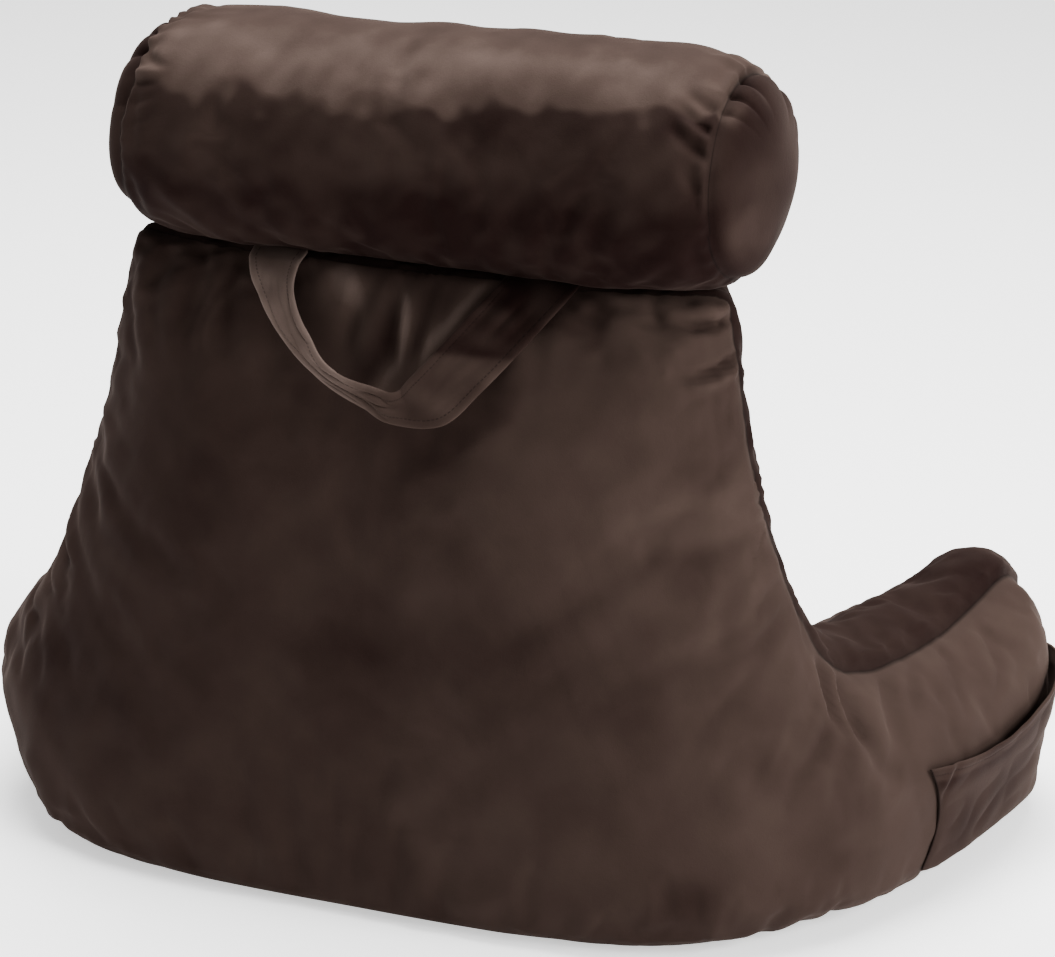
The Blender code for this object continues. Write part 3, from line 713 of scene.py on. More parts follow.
    def look_up(
        self,
        piece: bpy.types.Object,
        tree: BVHTree,
        corners: np.ndarray,
        unit: np.ndarray,
        placed: np.ndarray,
    ) -> np.ndarray:
        """Reads the cage coordinates of each vertex of the piece from the nearest point of the cage.

        Args:
            piece: the piece to read for.
            tree: the placed cage's faces.
            corners: the three vertex numbers of each cage face.
            unit: the cage's own coordinates of each cage vertex.
            placed: the places of the cage vertices.

        Returns:
            Column, row and layer of each vertex, one row each.
        """
        found = [tree.find_nearest(Vector(point)) for point in mesh_points(piece.data)]
        spot = np.array([hit[0] for hit in found])
        face = corners[[hit[2] for hit in found]]
        a, b, c = (placed[face[:, index]] for index in range(3))
        normal = np.cross(b - a, c - a)
        square = np.maximum((normal**2).sum(axis=1), 1e-18)
        share_b = (np.cross(spot - a, c - a) * normal).sum(axis=1) / square
        share_c = (np.cross(b - a, spot - a) * normal).sum(axis=1) / square
        shares = np.stack([1 - share_b - share_c, share_b, share_c], axis=1)
        made = (unit[face] * shares[:, :, None]).sum(axis=1)
        return np.stack([made[:, 0], made[:, 2], made[:, 1]], axis=1)

    def panel_place(self, coordinates: np.ndarray) -> tuple[np.ndarray, np.ndarray]:
        """The s and z of cage coordinates."""
        edge = self.plan.read_from["edge"]
        column, row = coordinates[:, 0], np.clip(coordinates[:, 1], 0, 1)
        s = np.interp(np.abs(column) * edge[-1], edge, self.plan.read_from["s"]) * np.where(column < 0, -1, 1)
        return s, row * self.plan.read("seam", s)

    def seam_distance(self, coordinates: np.ndarray) -> np.ndarray:
        """Signed distance to the panels' seams: positive on the panels, negative on the gusset."""
        s, z = self.panel_place(coordinates)
        layer = np.abs(coordinates[:, 2])
        on_gusset = (layer < 0.995) & (coordinates[:, 1] > 0.004)
        return np.where(on_gusset, (layer - 1) * self.plan.gusset_half, self.plan.edge_distance(s, z))

    def dress(self, piece: bpy.types.Object, coordinates: np.ndarray) -> None:
        """Presses the seams, puckers and folds into the cover.

        Args:
            piece: the settled and subdivided body.
            coordinates: its vertices' cage coordinates.
        """
        data = piece.data
        points, normals = mesh_points(data), mesh_normals(data)
        s, z = self.panel_place(coordinates)
        seam = self.seam_distance(coordinates)
        away = np.abs(seam)
        outer = smooth_step(0.97, 0.995, coordinates[:, 2])
        inner = smooth_step(0.97, 0.995, -coordinates[:, 2])
        along = coordinates[:, 0] * self.plan.read_from["edge"][-1]
        uneven = soft_noise(np.stack([along, 0.3 * z], axis=1), 0.11, 31)
        beat = 2 * math.pi * (along + self.pucker_wander * uneven) / self.pucker_spacing
        strength = 0.55 + 0.45 * soft_noise(np.stack([along, coordinates[:, 2]], axis=1), 0.08, 32)
        puckers = self.pucker_depth * np.clip(strength, 0, 1.4) * np.sin(beat + 8 * away / self.pucker_reach)
        sunk = puckers * np.exp(-away / self.pucker_reach)
        sunk = sunk + self.groove_depth * np.exp(-((away / self.groove_reach) ** 2))
        clear = np.minimum(away / self.fold_clearance, 1)
        folded = outer * clear * sum(fold.depth * fold.spread(s, z) for fold in self.outer_folds)
        folded = folded + inner * clear * sum(fold.depth * fold.spread(s, z) for fold in self.inner_folds)
        sunk = sunk + folded + self.ripple_depth * soft_noise(points, self.ripple_length, 33) * clear
        sunk = sunk * smooth_step(0.0, self.foot_reach, z)
        set_mesh_points(data, points - normals * sunk[:, None])
        set_attribute(data, "seam", seam)
        panels, gusset = self.pile_and_painted_light(s, z, coordinates[:, 2], points)
        # Painted shade in the folds' troughs and painted highlight on their ridges
        panels = panels - self.fold_shade * folded
        panels = panels + self.groove_light * np.exp(-((away / self.groove_reach) ** 2))
        set_attribute(data, "nap_and_painted_light", np.clip(panels, 0, 1))
        set_attribute(data, "strip", gusset - panels)

    def pile_and_painted_light(
        self,
        s: np.ndarray,
        z: np.ndarray,
        layer: np.ndarray,
        points: np.ndarray,
    ) -> tuple[np.ndarray, np.ndarray]:
        """Works out how light the colour is at each vertex, from 0, dark, to 1, light: the lie of the pile,
        with painted light and shade on the outer panel.

        Args:
            s: distance along the horseshoe.
            z: height in the panel.
            layer: -1 at the inner panel to 1 at the outer panel.
            points: places of the vertices.

        Returns:
            The colour on the panels, with their painted light and shade, and the pile as it lies on the gusset
            strip.
        """
        drift = self.drift_reach * soft_noise(points, 0.10, 51)
        uneven = 0.030 * soft_noise(points, 0.16, 52) + 0.014 * soft_noise(points, 0.05, 53)
        # Patches of stroked pile and painted highlight, shade and shadow on the outer panel
        on_outer = self.outer_pile + sum(
            stroke.lift * stroke.spread(s + drift, z - drift) for stroke in self.outer_pile_and_light_patches
        )
        ragged = s + 1.4 * drift + self.ragged_reach * soft_noise(points, 0.022, 54)
        # Painted light: the outer panel gets lighter towards -X past each edge
        for edge in (self.mid_back_painted_light, self.near_arm_painted_light):
            heights, *columns = np.array(edge).T
            turn, reach, lift = (np.interp(z, heights, column) for column in columns)
            on_outer = on_outer + lift * smooth_step(-1.0, 1.0, (turn - ragged) / reach)
        on_gusset = self.gusset_pile + sum(
            stroke.lift * stroke.spread(s + 0.5 * drift, layer) for stroke in self.gusset_strokes
        )
        share = np.clip((layer + 1) / 2, 0, 1)
        return on_outer * share + self.inner_pile * (1 - share) + uneven, on_gusset + 0.5 * uneven


@dataclass(frozen=True)
class RollEnd:
    """The size and shape of one end of the neck roll."""

    half_length: float
    seam_radius: float
    dome: float
    round_in: float
    slant: float


@dataclass
class NeckRoll:
    """The neck roll: a filled barrel along X between two end rounds, a little square underneath."""

    centre: Vector = field(default_factory=lambda: Vector((-0.01332, 0.11801, 0.5950)))
    radius: float = 0.0917
    flat_below: float = 0.0855
    squareness: float = 0.8
    end_share: float = 0.26
    left_end: RollEnd = RollEnd(half_length=0.246, seam_radius=0.076, dome=0.030, round_in=0.095, slant=0.009)
    right_end: RollEnd = RollEnd(half_length=0.247, seam_radius=0.077, dome=0.029, round_in=0.080, slant=0.0)
    around: int = 150
    rings: int = 110
    gathers: int = 30
    gather_depth: float = 0.0024
    pleat_rate: float = 7.5
    pleat_depth: float = 0.0070
    pleat_reach: float = 0.020
    pleat_shade: float = 0.14
    seam_depth: float = 0.0018
    seam_reach: float = 0.0035
    lump_depth: float = 0.0008
    twist_depth: float = 0.0018
    twist_rate: float = 14.0
    fold_clearance: float = 0.006
    # Painted shade in the folds and painted highlight on their ridges, for each metre of depth
    fold_shade: float = 14.0
    side_pile: float = 0.19
    top_lift: float = 0.34
    end_pile: float = 0.10
    # Distance along the roll and distance round it from its rear side
    folds: tuple[Fold, ...] = (
        Fold(-0.238, 0.0605, 26, 0.024, 0.0060, 0.0045),
        Fold(-0.236, 0.0520, 28, 0.022, 0.0050, -0.0025),
        Fold(-0.234, 0.0400, 35, 0.026, 0.0060, 0.0048),
        Fold(-0.240, 0.0300, 38, 0.020, 0.0055, -0.0022),
        Fold(-0.243, -0.0080, 67, 0.020, 0.0040, 0.0024),
        Fold(-0.236, 0.0130, 50, 0.018, 0.0050, 0.0020),
        Fold(-0.236, 0.0800, 20, 0.022, 0.0060, 0.0034),
        Fold(0.233, 0.0760, 45, 0.022, 0.0045, 0.0035),
        Fold(0.232, 0.0570, 6, 0.020, 0.0045, -0.0024),
        Fold(0.236, 0.0480, 10, 0.020, 0.0050, 0.0032),
        Fold(0.234, 0.0300, -12, 0.020, 0.0050, 0.0022),
        Fold(0.232, 0.0120, -20, 0.020, 0.0050, 0.0020),
        Fold(0.060, 0.0800, 4, 0.090, 0.0180, 0.0016),
        Fold(-0.110, 0.0500, -6, 0.080, 0.0200, 0.0018),
    )
    # Where the lighter top meets the darker side, along the roll and in degrees above level
    lighter_top_edge: tuple[tuple[float, float], ...] = (
        (-0.260, 44.0),
        (-0.228, 40.0),
        (-0.126, 38.0),
        (-0.016, 30.0),
        (0.085, 27.0),
        (0.198, 23.0),
        (0.260, 30.0),
    )

    def of_end(self, name: str, along: np.ndarray) -> np.ndarray:
        """A size of the end that each place is nearer to."""
        return np.where(along < 0, getattr(self.right_end, name), getattr(self.left_end, name))

    def profile(self, latitude: np.ndarray) -> tuple[np.ndarray, np.ndarray]:
        """Distance along the roll and radius at latitudes from -1 to 1."""
        half, seam_radius = self.of_end("half_length", latitude), self.of_end("seam_radius", latitude)
        inward = np.clip((1 - np.abs(latitude)) / self.end_share, 0, 1)
        along = np.clip(latitude / (1 - self.end_share), -1, 1) * half
        from_seam = np.minimum((half - np.abs(along)) / self.of_end("round_in", latitude), 1)
        rounding = np.sqrt(np.maximum(1 - (1 - from_seam) ** 2, 0))
        barrel = seam_radius + (self.radius - seam_radius) * rounding
        end_along = np.sign(latitude) * (half + self.of_end("dome", latitude) * (1 - inward**2))
        on_end = np.abs(latitude) > 1 - self.end_share
        end_radius = seam_radius * np.sin(inward * math.pi / 2)
        return np.where(on_end, end_along, along), np.where(on_end, end_radius, barrel)

    def place(self, turn: np.ndarray, latitude: np.ndarray) -> np.ndarray:
        """Places of points of the roll's cover, one row each."""
        along, radius = self.profile(latitude)
        half = self.of_end("half_length", along)
        twist = np.sin(2 * turn + self.twist_rate * along)
        radius = radius + self.twist_depth * twist * np.minimum(radius / self.radius, 1)
        power = 2 + self.squareness * (1 - np.minimum(np.abs(along) / half, 1) ** 4)
        square = (np.abs(np.cos(turn)) ** power + np.abs(np.sin(turn)) ** power) ** (1 / power)
        radius = np.where(turn < 0, radius / square, radius)
        y, z = radius * np.cos(turn), radius * np.sin(turn)
        along = along - self.of_end("slant", along) * z / self.radius * (along / half) ** 3
        return np.stack([along, y, np.maximum(z, -self.flat_below)], axis=1) + np.array(self.centre)

    def build(self) -> bpy.types.Object:
        """Makes the roll with its gathered end seams."""
        mesh = bmesh.new()
        bmesh.ops.create_uvsphere(mesh, u_segments=self.around, v_segments=self.rings, radius=1)
        unit = np.array([vertex.co for vertex in mesh.verts])
        latitude = 1 - 2 * np.arccos(np.clip(unit[:, 2], -1, 1)) / math.pi
        placed = self.place(np.arctan2(unit[:, 1], unit[:, 0]), latitude)
        for vertex, point in zip(mesh.verts, placed):
            vertex.co = point
        piece = make_piece("velvet_neck_roll", mesh)
        seam = self.seam_distance(piece)
        resting = mesh_points(piece.data)[:, 2] < self.centre.z - self.flat_below + 0.002
        ClothSettling().run(piece, ((seam < 0.004) | resting).astype(float))
        subdivide(piece)
        self.dress(piece)
        LOG.info("%s: %d faces", piece.name, len(piece.data.polygons))
        return piece

    def seam_distance(self, piece: bpy.types.Object) -> np.ndarray:
        """Signed distance to the nearest end seam: positive on the barrel, negative on the end rounds."""
        points = mesh_points(piece.data) - np.array(self.centre)
        radius = np.hypot(points[:, 1], points[:, 2])
        half = self.of_end("half_length", points[:, 0])
        slant = self.of_end("slant", points[:, 0])
        unslanted = points[:, 0] + slant * points[:, 2] / self.radius * (points[:, 0] / half) ** 3
        inward = half - np.abs(unslanted)
        short = np.maximum(self.of_end("seam_radius", points[:, 0]) - radius, 0)
        return np.where(inward >= 0, inward, -np.hypot(inward, short))

    def dress(self, piece: bpy.types.Object) -> None:
        """Presses the end seams and their gathers into the cover."""
        data = piece.data
        points, normals = mesh_points(data), mesh_normals(data)
        local = points - np.array(self.centre)
        turn = np.arctan2(local[:, 2], local[:, 1])
        seam = self.seam_distance(piece)
        away = np.abs(seam)
        circle = np.stack([np.cos(turn), np.sin(turn), np.sign(local[:, 0])], axis=1)
        uneven = soft_noise(circle, 1.4, 41)
        strength = np.clip(0.5 + 0.7 * soft_noise(circle, 1.1, 42), 0.05, 1.5)
        wave = np.sin(self.gathers * turn + 2.2 * uneven)
        reach = 0.018 + 0.010 * np.clip(soft_noise(circle, 0.9, 43), -1, 1)
        on_top = smooth_step(0.25, 0.90, np.sin(turn + np.sign(local[:, 0]) * 0.30))
        on_barrel = smooth_step(-0.001, 0.002, seam)
        gathered = self.gather_depth * strength * wave * np.exp(-away / reach)
        sunk = gathered * on_barrel * (0.22 + 0.78 * on_top)
        pleats = on_top * (1 - np.abs(np.sin(self.pleat_rate * turn + 1.6 * uneven))) ** 1.5
        pleats = pleats * np.exp(-((away / self.pleat_reach) ** 2))
        sunk = sunk + self.pleat_depth * pleats * (1 - on_barrel)
        sunk = sunk + self.seam_depth * np.exp(-((away / self.seam_reach) ** 2)) * (0.06 + 0.94 * on_top)
        around = turn * self.radius
        clear = smooth_step(0.0, self.fold_clearance, seam)
        folded = clear * sum(fold.depth * fold.spread(local[:, 0], around) for fold in self.folds)
        sunk = sunk + folded + self.lump_depth * soft_noise(points, 0.07, 44)
        set_mesh_points(data, points - normals * sunk[:, None])
        barrel, ends = self.pile_and_painted_light(local, turn, seam)
        line_fades = 0.0024 * (1 - np.maximum(on_top, smooth_step(0.10, 0.20, local[:, 0]) * 0.8))
        set_attribute(data, "seam", seam + np.where(seam < 0, -line_fades, line_fades))
        # Painted shade in the folds' troughs and painted highlight on their ridges
        set_attribute(data, "nap_and_painted_light", np.clip(barrel - self.fold_shade * folded, 0, 1))
        crisp = np.maximum(on_top, smooth_step(0.0, -0.020, seam))
        set_attribute(data, "strip", (ends - self.pleat_shade * pleats - barrel) * crisp)

    def pile_and_painted_light(self, local: np.ndarray, turn: np.ndarray, seam: np.ndarray) -> tuple[np.ndarray, np.ndarray]:
        """Works out how light the colour is at each vertex, from 0, dark, to 1, light: the lie of the pile,
        with painted shade underneath the roll.

        Args:
            local: places from the roll's centre.
            turn: angle round the roll, 0 at the rear and a quarter turn at the top.
            seam: signed distance to the end seams.

        Returns:
            The colour on the barrel, with its painted shade, and the pile as it lies on the end rounds.
        """
        rise = np.degrees(np.where(np.abs(turn) > math.pi / 2, np.sign(turn) * math.pi - turn, turn))
        edge = np.array(self.lighter_top_edge)
        ragged = 3.2 * soft_noise(local, 0.060, 61) + 2.2 * soft_noise(local, 0.022, 62)
        above = rise - np.interp(local[:, 0], edge[:, 0], edge[:, 1]) + ragged
        # Light on top, darker again on the crown and towards -X, and painted shade underneath
        pile = self.side_pile + self.top_lift * smooth_step(-4, 5, above) + 0.06 * smooth_step(4, 30, above)
        pile = pile - 0.20 * smooth_step(55, 90, rise) - 0.17 * smooth_step(8, -24, rise)
        pile = pile + 0.20 * local[:, 0] * smooth_step(5, -4, above)
        pile = pile + 0.035 * soft_noise(local, 0.09, 63) + 0.02 * soft_noise(local, 0.03, 64)
        front = smooth_step(0.02, -0.05, local[:, 1])
        pile = pile + 0.14 * front * smooth_step(40, -10, above)
        ends = self.end_pile + 0.05 * smooth_step(-0.01, -0.05, seam) + 0.03 * soft_noise(local, 0.06, 65)
        return pile, ends


@dataclass
class ClothPatch:
    """A sheet of cover cloth that lies on the outer panel, thin and with its edges turned under."""

    plan: PanelPlan
    thickness: float = 0.0026
    seat: float = 0.0007
    hem_depth: float = 0.0007
    hem_width: float = 0.008

    def grid(self, lengths: int, widths: int) -> tuple[bmesh.types.BMesh, np.ndarray, np.ndarray]:
        """A flat grid with each vertex's shares along and across it, from 0 to 1."""
        mesh = bmesh.new()
        bmesh.ops.create_grid(mesh, x_segments=lengths, y_segments=widths, size=1)
        unit = np.array([vertex.co for vertex in mesh.verts])
        return mesh, (unit[:, 0] + 1) / 2, (unit[:, 1] + 1) / 2

    def hem(self, edge: np.ndarray) -> np.ndarray:
        """How far the cloth stands up over its turned-under hem, at a distance from its edge."""
        fold = smooth_step(0.0, 0.002, edge) - smooth_step(self.hem_width - 0.0015, self.hem_width, edge)
        stitches = np.exp(-(((edge - 0.75 * self.hem_width) / 0.0012) ** 2))
        return self.hem_depth * (fold - 1.2 * stitches)

    def finish(
        self,
        name: str,
        mesh: bmesh.types.BMesh,
        placed: np.ndarray,
        values: dict[str, np.ndarray],
    ) -> bpy.types.Object:
        """Turns the placed grid into a sheet of its cloth's thickness.

        Args:
            name: the piece's name.
            mesh: the grid.
            placed: the place of each vertex on the sheet's middle surface.
            values: attributes that the finish reads, one value for each vertex.

        Returns:
            The finished piece.
        """
        for vertex, point in zip(mesh.verts, placed):
            vertex.co = point
        piece = make_piece(name, mesh)
        for attribute, numbers in values.items():
            set_attribute(piece.data, attribute, numbers)
        solidify = piece.modifiers.new("cloth thickness", "SOLIDIFY")
        solidify.thickness = self.thickness
        solidify.offset = 0
        bake_modifiers(piece)
        subdivide(piece)
        LOG.info("%s: %d faces", piece.name, len(piece.data.polygons))
        return piece


@dataclass
class CarryHandle(ClothPatch):
    """The carry handle: one strap whose ends are caught in the top rear seam."""

    stand_off: float = 0.021
    lengths: int = 170
    widths: int = 22
    cut_width: float = 0.040
    seen_length: float = 0.30
    crease_depth: float = 0.0011
    caught_depth: float = 0.009
    painted_shadow_share: float = 0.78
    # Lower edge s, z and lift; upper edge s, z and lift; the lifts are shares of the stand-off
    edges: tuple[tuple[float, ...], ...] = (
        (0.132, 0.508, 0.00, 0.086, 0.508, 0.00),
        (0.112, 0.486, 0.35, 0.079, 0.487, 0.40),
        (0.081, 0.457, 0.60, 0.054, 0.460, 0.95),
        (0.045, 0.431, 0.72, 0.027, 0.439, 1.25),
        (0.002, 0.413, 0.85, -0.006, 0.431, 1.20),
        (-0.024, 0.405, 0.95, -0.022, 0.429, 1.05),
        (-0.062, 0.410, 1.00, -0.031, 0.440, 1.00),
        (-0.086, 0.437, 0.85, -0.048, 0.463, 0.85),
        (-0.107, 0.465, 0.55, -0.066, 0.489, 0.55),
        (-0.137, 0.507, 0.00, -0.079, 0.508, 0.00),
    )
    # Share along the strap and how light its colour is there: its pile, darkened towards the right end by the
    # neck roll's painted shadow
    pile_and_painted_light: tuple[tuple[float, float], ...] = (
        (0.00, 0.60),
        (0.10, 0.82),
        (0.36, 0.66),
        (0.52, 0.42),
        (0.66, 0.34),
        (1.00, 0.30),
    )
    # Above this height the strap's right half is darkened with the neck roll's painted shadow
    painted_shadow_above: float = 0.458

    def build(self) -> bpy.types.Object:
        """Makes the strap with its two hems and the creases along it."""
        mesh, along, upper = self.grid(self.lengths, self.widths)
        table = smooth_table(self.edges, 600)
        position = np.linspace(0, 1, 600)
        low_s, low_z, low_lift, up_s, up_z, up_lift = (
            np.interp(along, position, table[:, column]) for column in range(6)
        )
        s, z = low_s + (up_s - low_s) * upper, low_z + (up_z - low_z) * upper
        rise = np.maximum(low_lift + (up_lift - low_lift) * upper, 0)
        width = np.hypot(up_s - low_s, up_z - low_z)
        edge = np.minimum(upper, 1 - upper) * width
        run = along * self.seen_length
        lie = np.stack([run * 0.25, upper * self.cut_width], axis=1)
        creases = self.crease_depth * soft_noise(lie, 0.017, 71) * smooth_step(0.0, 0.10, along)
        creases = creases * smooth_step(1.0, 0.90, along)
        lift = self.seat + self.thickness / 2 + self.stand_off * rise + self.hem(edge) + np.abs(creases)
        surface = self.plan.half_thickness(s, np.minimum(z, self.plan.read("seam", s)), Side.OUTER)
        caught = smooth_step(0.03, 0.0, np.minimum(along, 1 - along))
        placed = self.plan.in_space(s, z + 0.0010 * caught, surface + lift - self.caught_depth * caught)
        table_of_pile_and_painted_light = np.array(self.pile_and_painted_light)
        pile = np.interp(along, table_of_pile_and_painted_light[:, 0], table_of_pile_and_painted_light[:, 1])
        # Painted shadow of the neck roll on the upper part of the strap's right half
        dark = smooth_step(self.painted_shadow_above - 0.003, self.painted_shadow_above + 0.003, z)
        pile = pile * (1 - self.painted_shadow_share * dark * smooth_step(0.56, 0.64, along))
        # Painted highlight along the strap's edges, and uneven pile over the strap
        pile = pile * (1 + 0.25 * smooth_step(0.004, 0.0, edge)) + 0.05 * soft_noise(placed, 0.03, 72)
        values = {"edge": edge, "run": run, "seam": np.full(len(edge), 0.05), "nap_and_painted_light": np.clip(pile, 0, 1)}
        return self.finish("velvet_carry_handle", mesh, placed, values)


@dataclass
class SidePocket(ClothPatch):
    """The patch pocket on the outside of the -X arm."""

    thickness: float = 0.0020
    seat: float = 0.0028
    mouth: float = 0.007
    ripple_depth: float = 0.0007
    sewn_reach: float = 0.006
    rear_pile: float = 0.22
    front_painted_light: float = 0.44
    seen_length: float = 0.24
    hem_length: float = 0.25
    rear_bow: float = 0.016
    foot: float = 0.016
    foot_rise: float = 0.014
    lengths: int = 120
    heights: int = 60
    # Along s and up, from the rear end of the hem to the arm's front
    hem_line: tuple[tuple[float, float], ...] = (
        (-0.400, 0.117),
        (-0.430, 0.113),
        (-0.472, 0.109),
        (-0.514, 0.111),
        (-0.548, 0.121),
        (-0.578, 0.134),
        (-0.610, 0.136),
        (-0.638, 0.128),
    )
    folds: tuple[Fold, ...] = (
        Fold(-0.412, 0.094, 112, 0.026, 0.0040, -0.0020),
        Fold(-0.418, 0.092, 112, 0.026, 0.0035, 0.0022),
        Fold(-0.500, 0.070, 10, 0.050, 0.0100, 0.0012),
        Fold(-0.560, 0.060, -14, 0.050, 0.0100, 0.0012),
    )

    def build(self) -> bpy.types.Object:
        """Makes the pocket with the hem at its mouth."""
        mesh, along, up = self.grid(self.lengths, self.heights)
        table = smooth_table(self.hem_line, 400)
        position = np.linspace(0, 1, 400)
        hem_s, hem_z = (np.interp(along, position, table[:, column]) for column in range(2))
        foot = self.foot + self.foot_rise * (1 - along) ** 2.5
        z = foot + (hem_z - foot) * up
        s = hem_s - self.rear_bow * np.sin(0.9 * math.pi * (1 - up)) * (1 - along)
        gape = self.mouth * up**2 * np.sin(math.pi * along**1.15) ** 1.2
        edge = (hem_z - foot) * (1 - up)
        side = np.minimum(along, 1 - along) * self.seen_length
        uneven = self.ripple_depth * soft_noise(np.stack([s, z], axis=1), 0.045, 81)
        uneven = uneven * smooth_step(0.0, 0.01, side)
        sunk = sum(fold.depth * fold.spread(s, z) for fold in self.folds)
        surface = self.plan.half_thickness(s, z, Side.OUTER)
        sewn = 1 - 0.55 * np.exp(-side / self.sewn_reach) - 0.45 * np.exp(-(z - foot) / self.sewn_reach)
        lift = self.seat * np.clip(sewn, 0.35, 1) + self.thickness / 2 + gape + self.hem(edge)
        lift = lift + np.abs(uneven) - np.clip(sunk, -0.002, 0.0018) * smooth_step(0.0, 0.008, side)
        placed = self.plan.in_space(s, z, surface + lift)
        # Painted light on the pocket's front part, where it turns away from the side lamp
        pile = self.rear_pile + self.front_painted_light * smooth_step(0.50, 1.0, along)
        pile = pile + 0.05 * soft_noise(placed, 0.08, 82)
        pile = pile + 0.08 * smooth_step(0.003, 0.0, edge)
        pile = pile - 0.12 * smooth_step(0.010, 0.013, edge) * smooth_step(0.030, 0.013, edge)
        values = {"edge": edge, "run": along * self.hem_length, "seam": side, "nap_and_painted_light": np.clip(pile, 0, 1)}
        return self.finish("velvet_side_pocket", mesh, placed, values)


# Finishes


Number = float | int


class Value:
    """A shader socket that adds its own Math nodes when it is used in an expression."""

    def __init__(self, tree: bpy.types.NodeTree, socket: bpy.types.NodeSocket) -> None:
        """Wraps one output socket of a node tree."""
        self.tree = tree
        self.socket = socket

    def math(self, operation: str, *others: "Value | Number", clamp: bool = False) -> "Value":
        """Adds a Math node on this value and the others."""
        node = self.tree.nodes.new("ShaderNodeMath")
        node.operation = operation
        node.use_clamp = clamp
        for index, item in enumerate((self, *others)):
            if isinstance(item, Value):
                self.tree.links.new(item.socket, node.inputs[index])
            else:
                node.inputs[index].default_value = float(item)
        return Value(self.tree, node.outputs[0])

    def __add__(self, other: "Value | Number") -> "Value":
        """This value plus another."""
        return self.math("ADD", other)

    __radd__ = __add__

    def __sub__(self, other: "Value | Number") -> "Value":
        """This value minus another."""
        return self.math("SUBTRACT", other)

    def __rsub__(self, other: Number) -> "Value":
        """A number minus this value."""
        return self.math("MULTIPLY", -1).math("ADD", other)

    def __mul__(self, other: "Value | Number") -> "Value":
        """This value times another."""
        return self.math("MULTIPLY", other)

    __rmul__ = __mul__

    def __abs__(self) -> "Value":
        """This value without its sign."""
        return self.math("ABSOLUTE")

    def ramp(self, low: float, high: float, at_low: float = 0.0, at_high: float = 1.0) -> "Value":
        """Goes smoothly from at_low to at_high as this value goes from low to high."""
        node = self.tree.nodes.new("ShaderNodeMapRange")
        node.interpolation_type = "SMOOTHSTEP"
        self.tree.links.new(self.socket, node.inputs["Value"])
        for name, number in (("From Min", low), ("From Max", high), ("To Min", at_low), ("To Max", at_high)):
            node.inputs[name].default_value = number
        return Value(self.tree, node.outputs["Result"])


class Finish:
    """A material under construction, with one method that adds any node."""

    def __init__(self, name: str) -> None:
        """Starts an empty Principled material."""
        self.material = bpy.data.materials.new(name)
        self.material.use_nodes = True
        self.tree = self.material.node_tree
        self.shader = self.tree.nodes["Principled BSDF"]

    def node(self, kind: str, settings: dict[str, object] | None = None, **sockets: object) -> bpy.types.Node:
        """Adds a node.

        Args:
            kind: the node's type.
            settings: properties of the node, set before its sockets.
            sockets: values or links for its inputs, with _ for a space in their names.

        Returns:
            The node.
        """
        made = self.tree.nodes.new(kind)
        for name, value in (settings or {}).items():
            setattr(made, name, value)
        for name, value in sockets.items():
            self.feed(made.inputs[name.replace("_", " ")], value)
        return made

    def feed(self, socket: bpy.types.NodeSocket, value: object) -> None:
        """Links a value to a socket, or sets the socket's own value."""
        if isinstance(value, Value):
            self.tree.links.new(value.socket, socket)
        elif isinstance(value, bpy.types.NodeSocket):
            self.tree.links.new(value, socket)
        else:
            socket.default_value = value

    def value(self, socket: bpy.types.NodeSocket) -> Value:
        """Wraps an output socket for expressions."""
        return Value(self.tree, socket)

    def attribute(self, name: str) -> Value:
        """Reads one of the piece's own attributes."""
        return self.value(self.node("ShaderNodeAttribute", {"attribute_name": name}).outputs["Fac"])

    def grey(self, value: Value) -> bpy.types.NodeSocket:
        """A grey colour from a value."""
        return self.node("ShaderNodeCombineColor", Red=value, Green=value, Blue=value).outputs["Color"]

    def set(self, **sockets: object) -> None:
        """Feeds the shader's own inputs, with _ for a space in their names."""
        for name, value in sockets.items():
            self.feed(self.shader.inputs[name.replace("_", " ")], value)


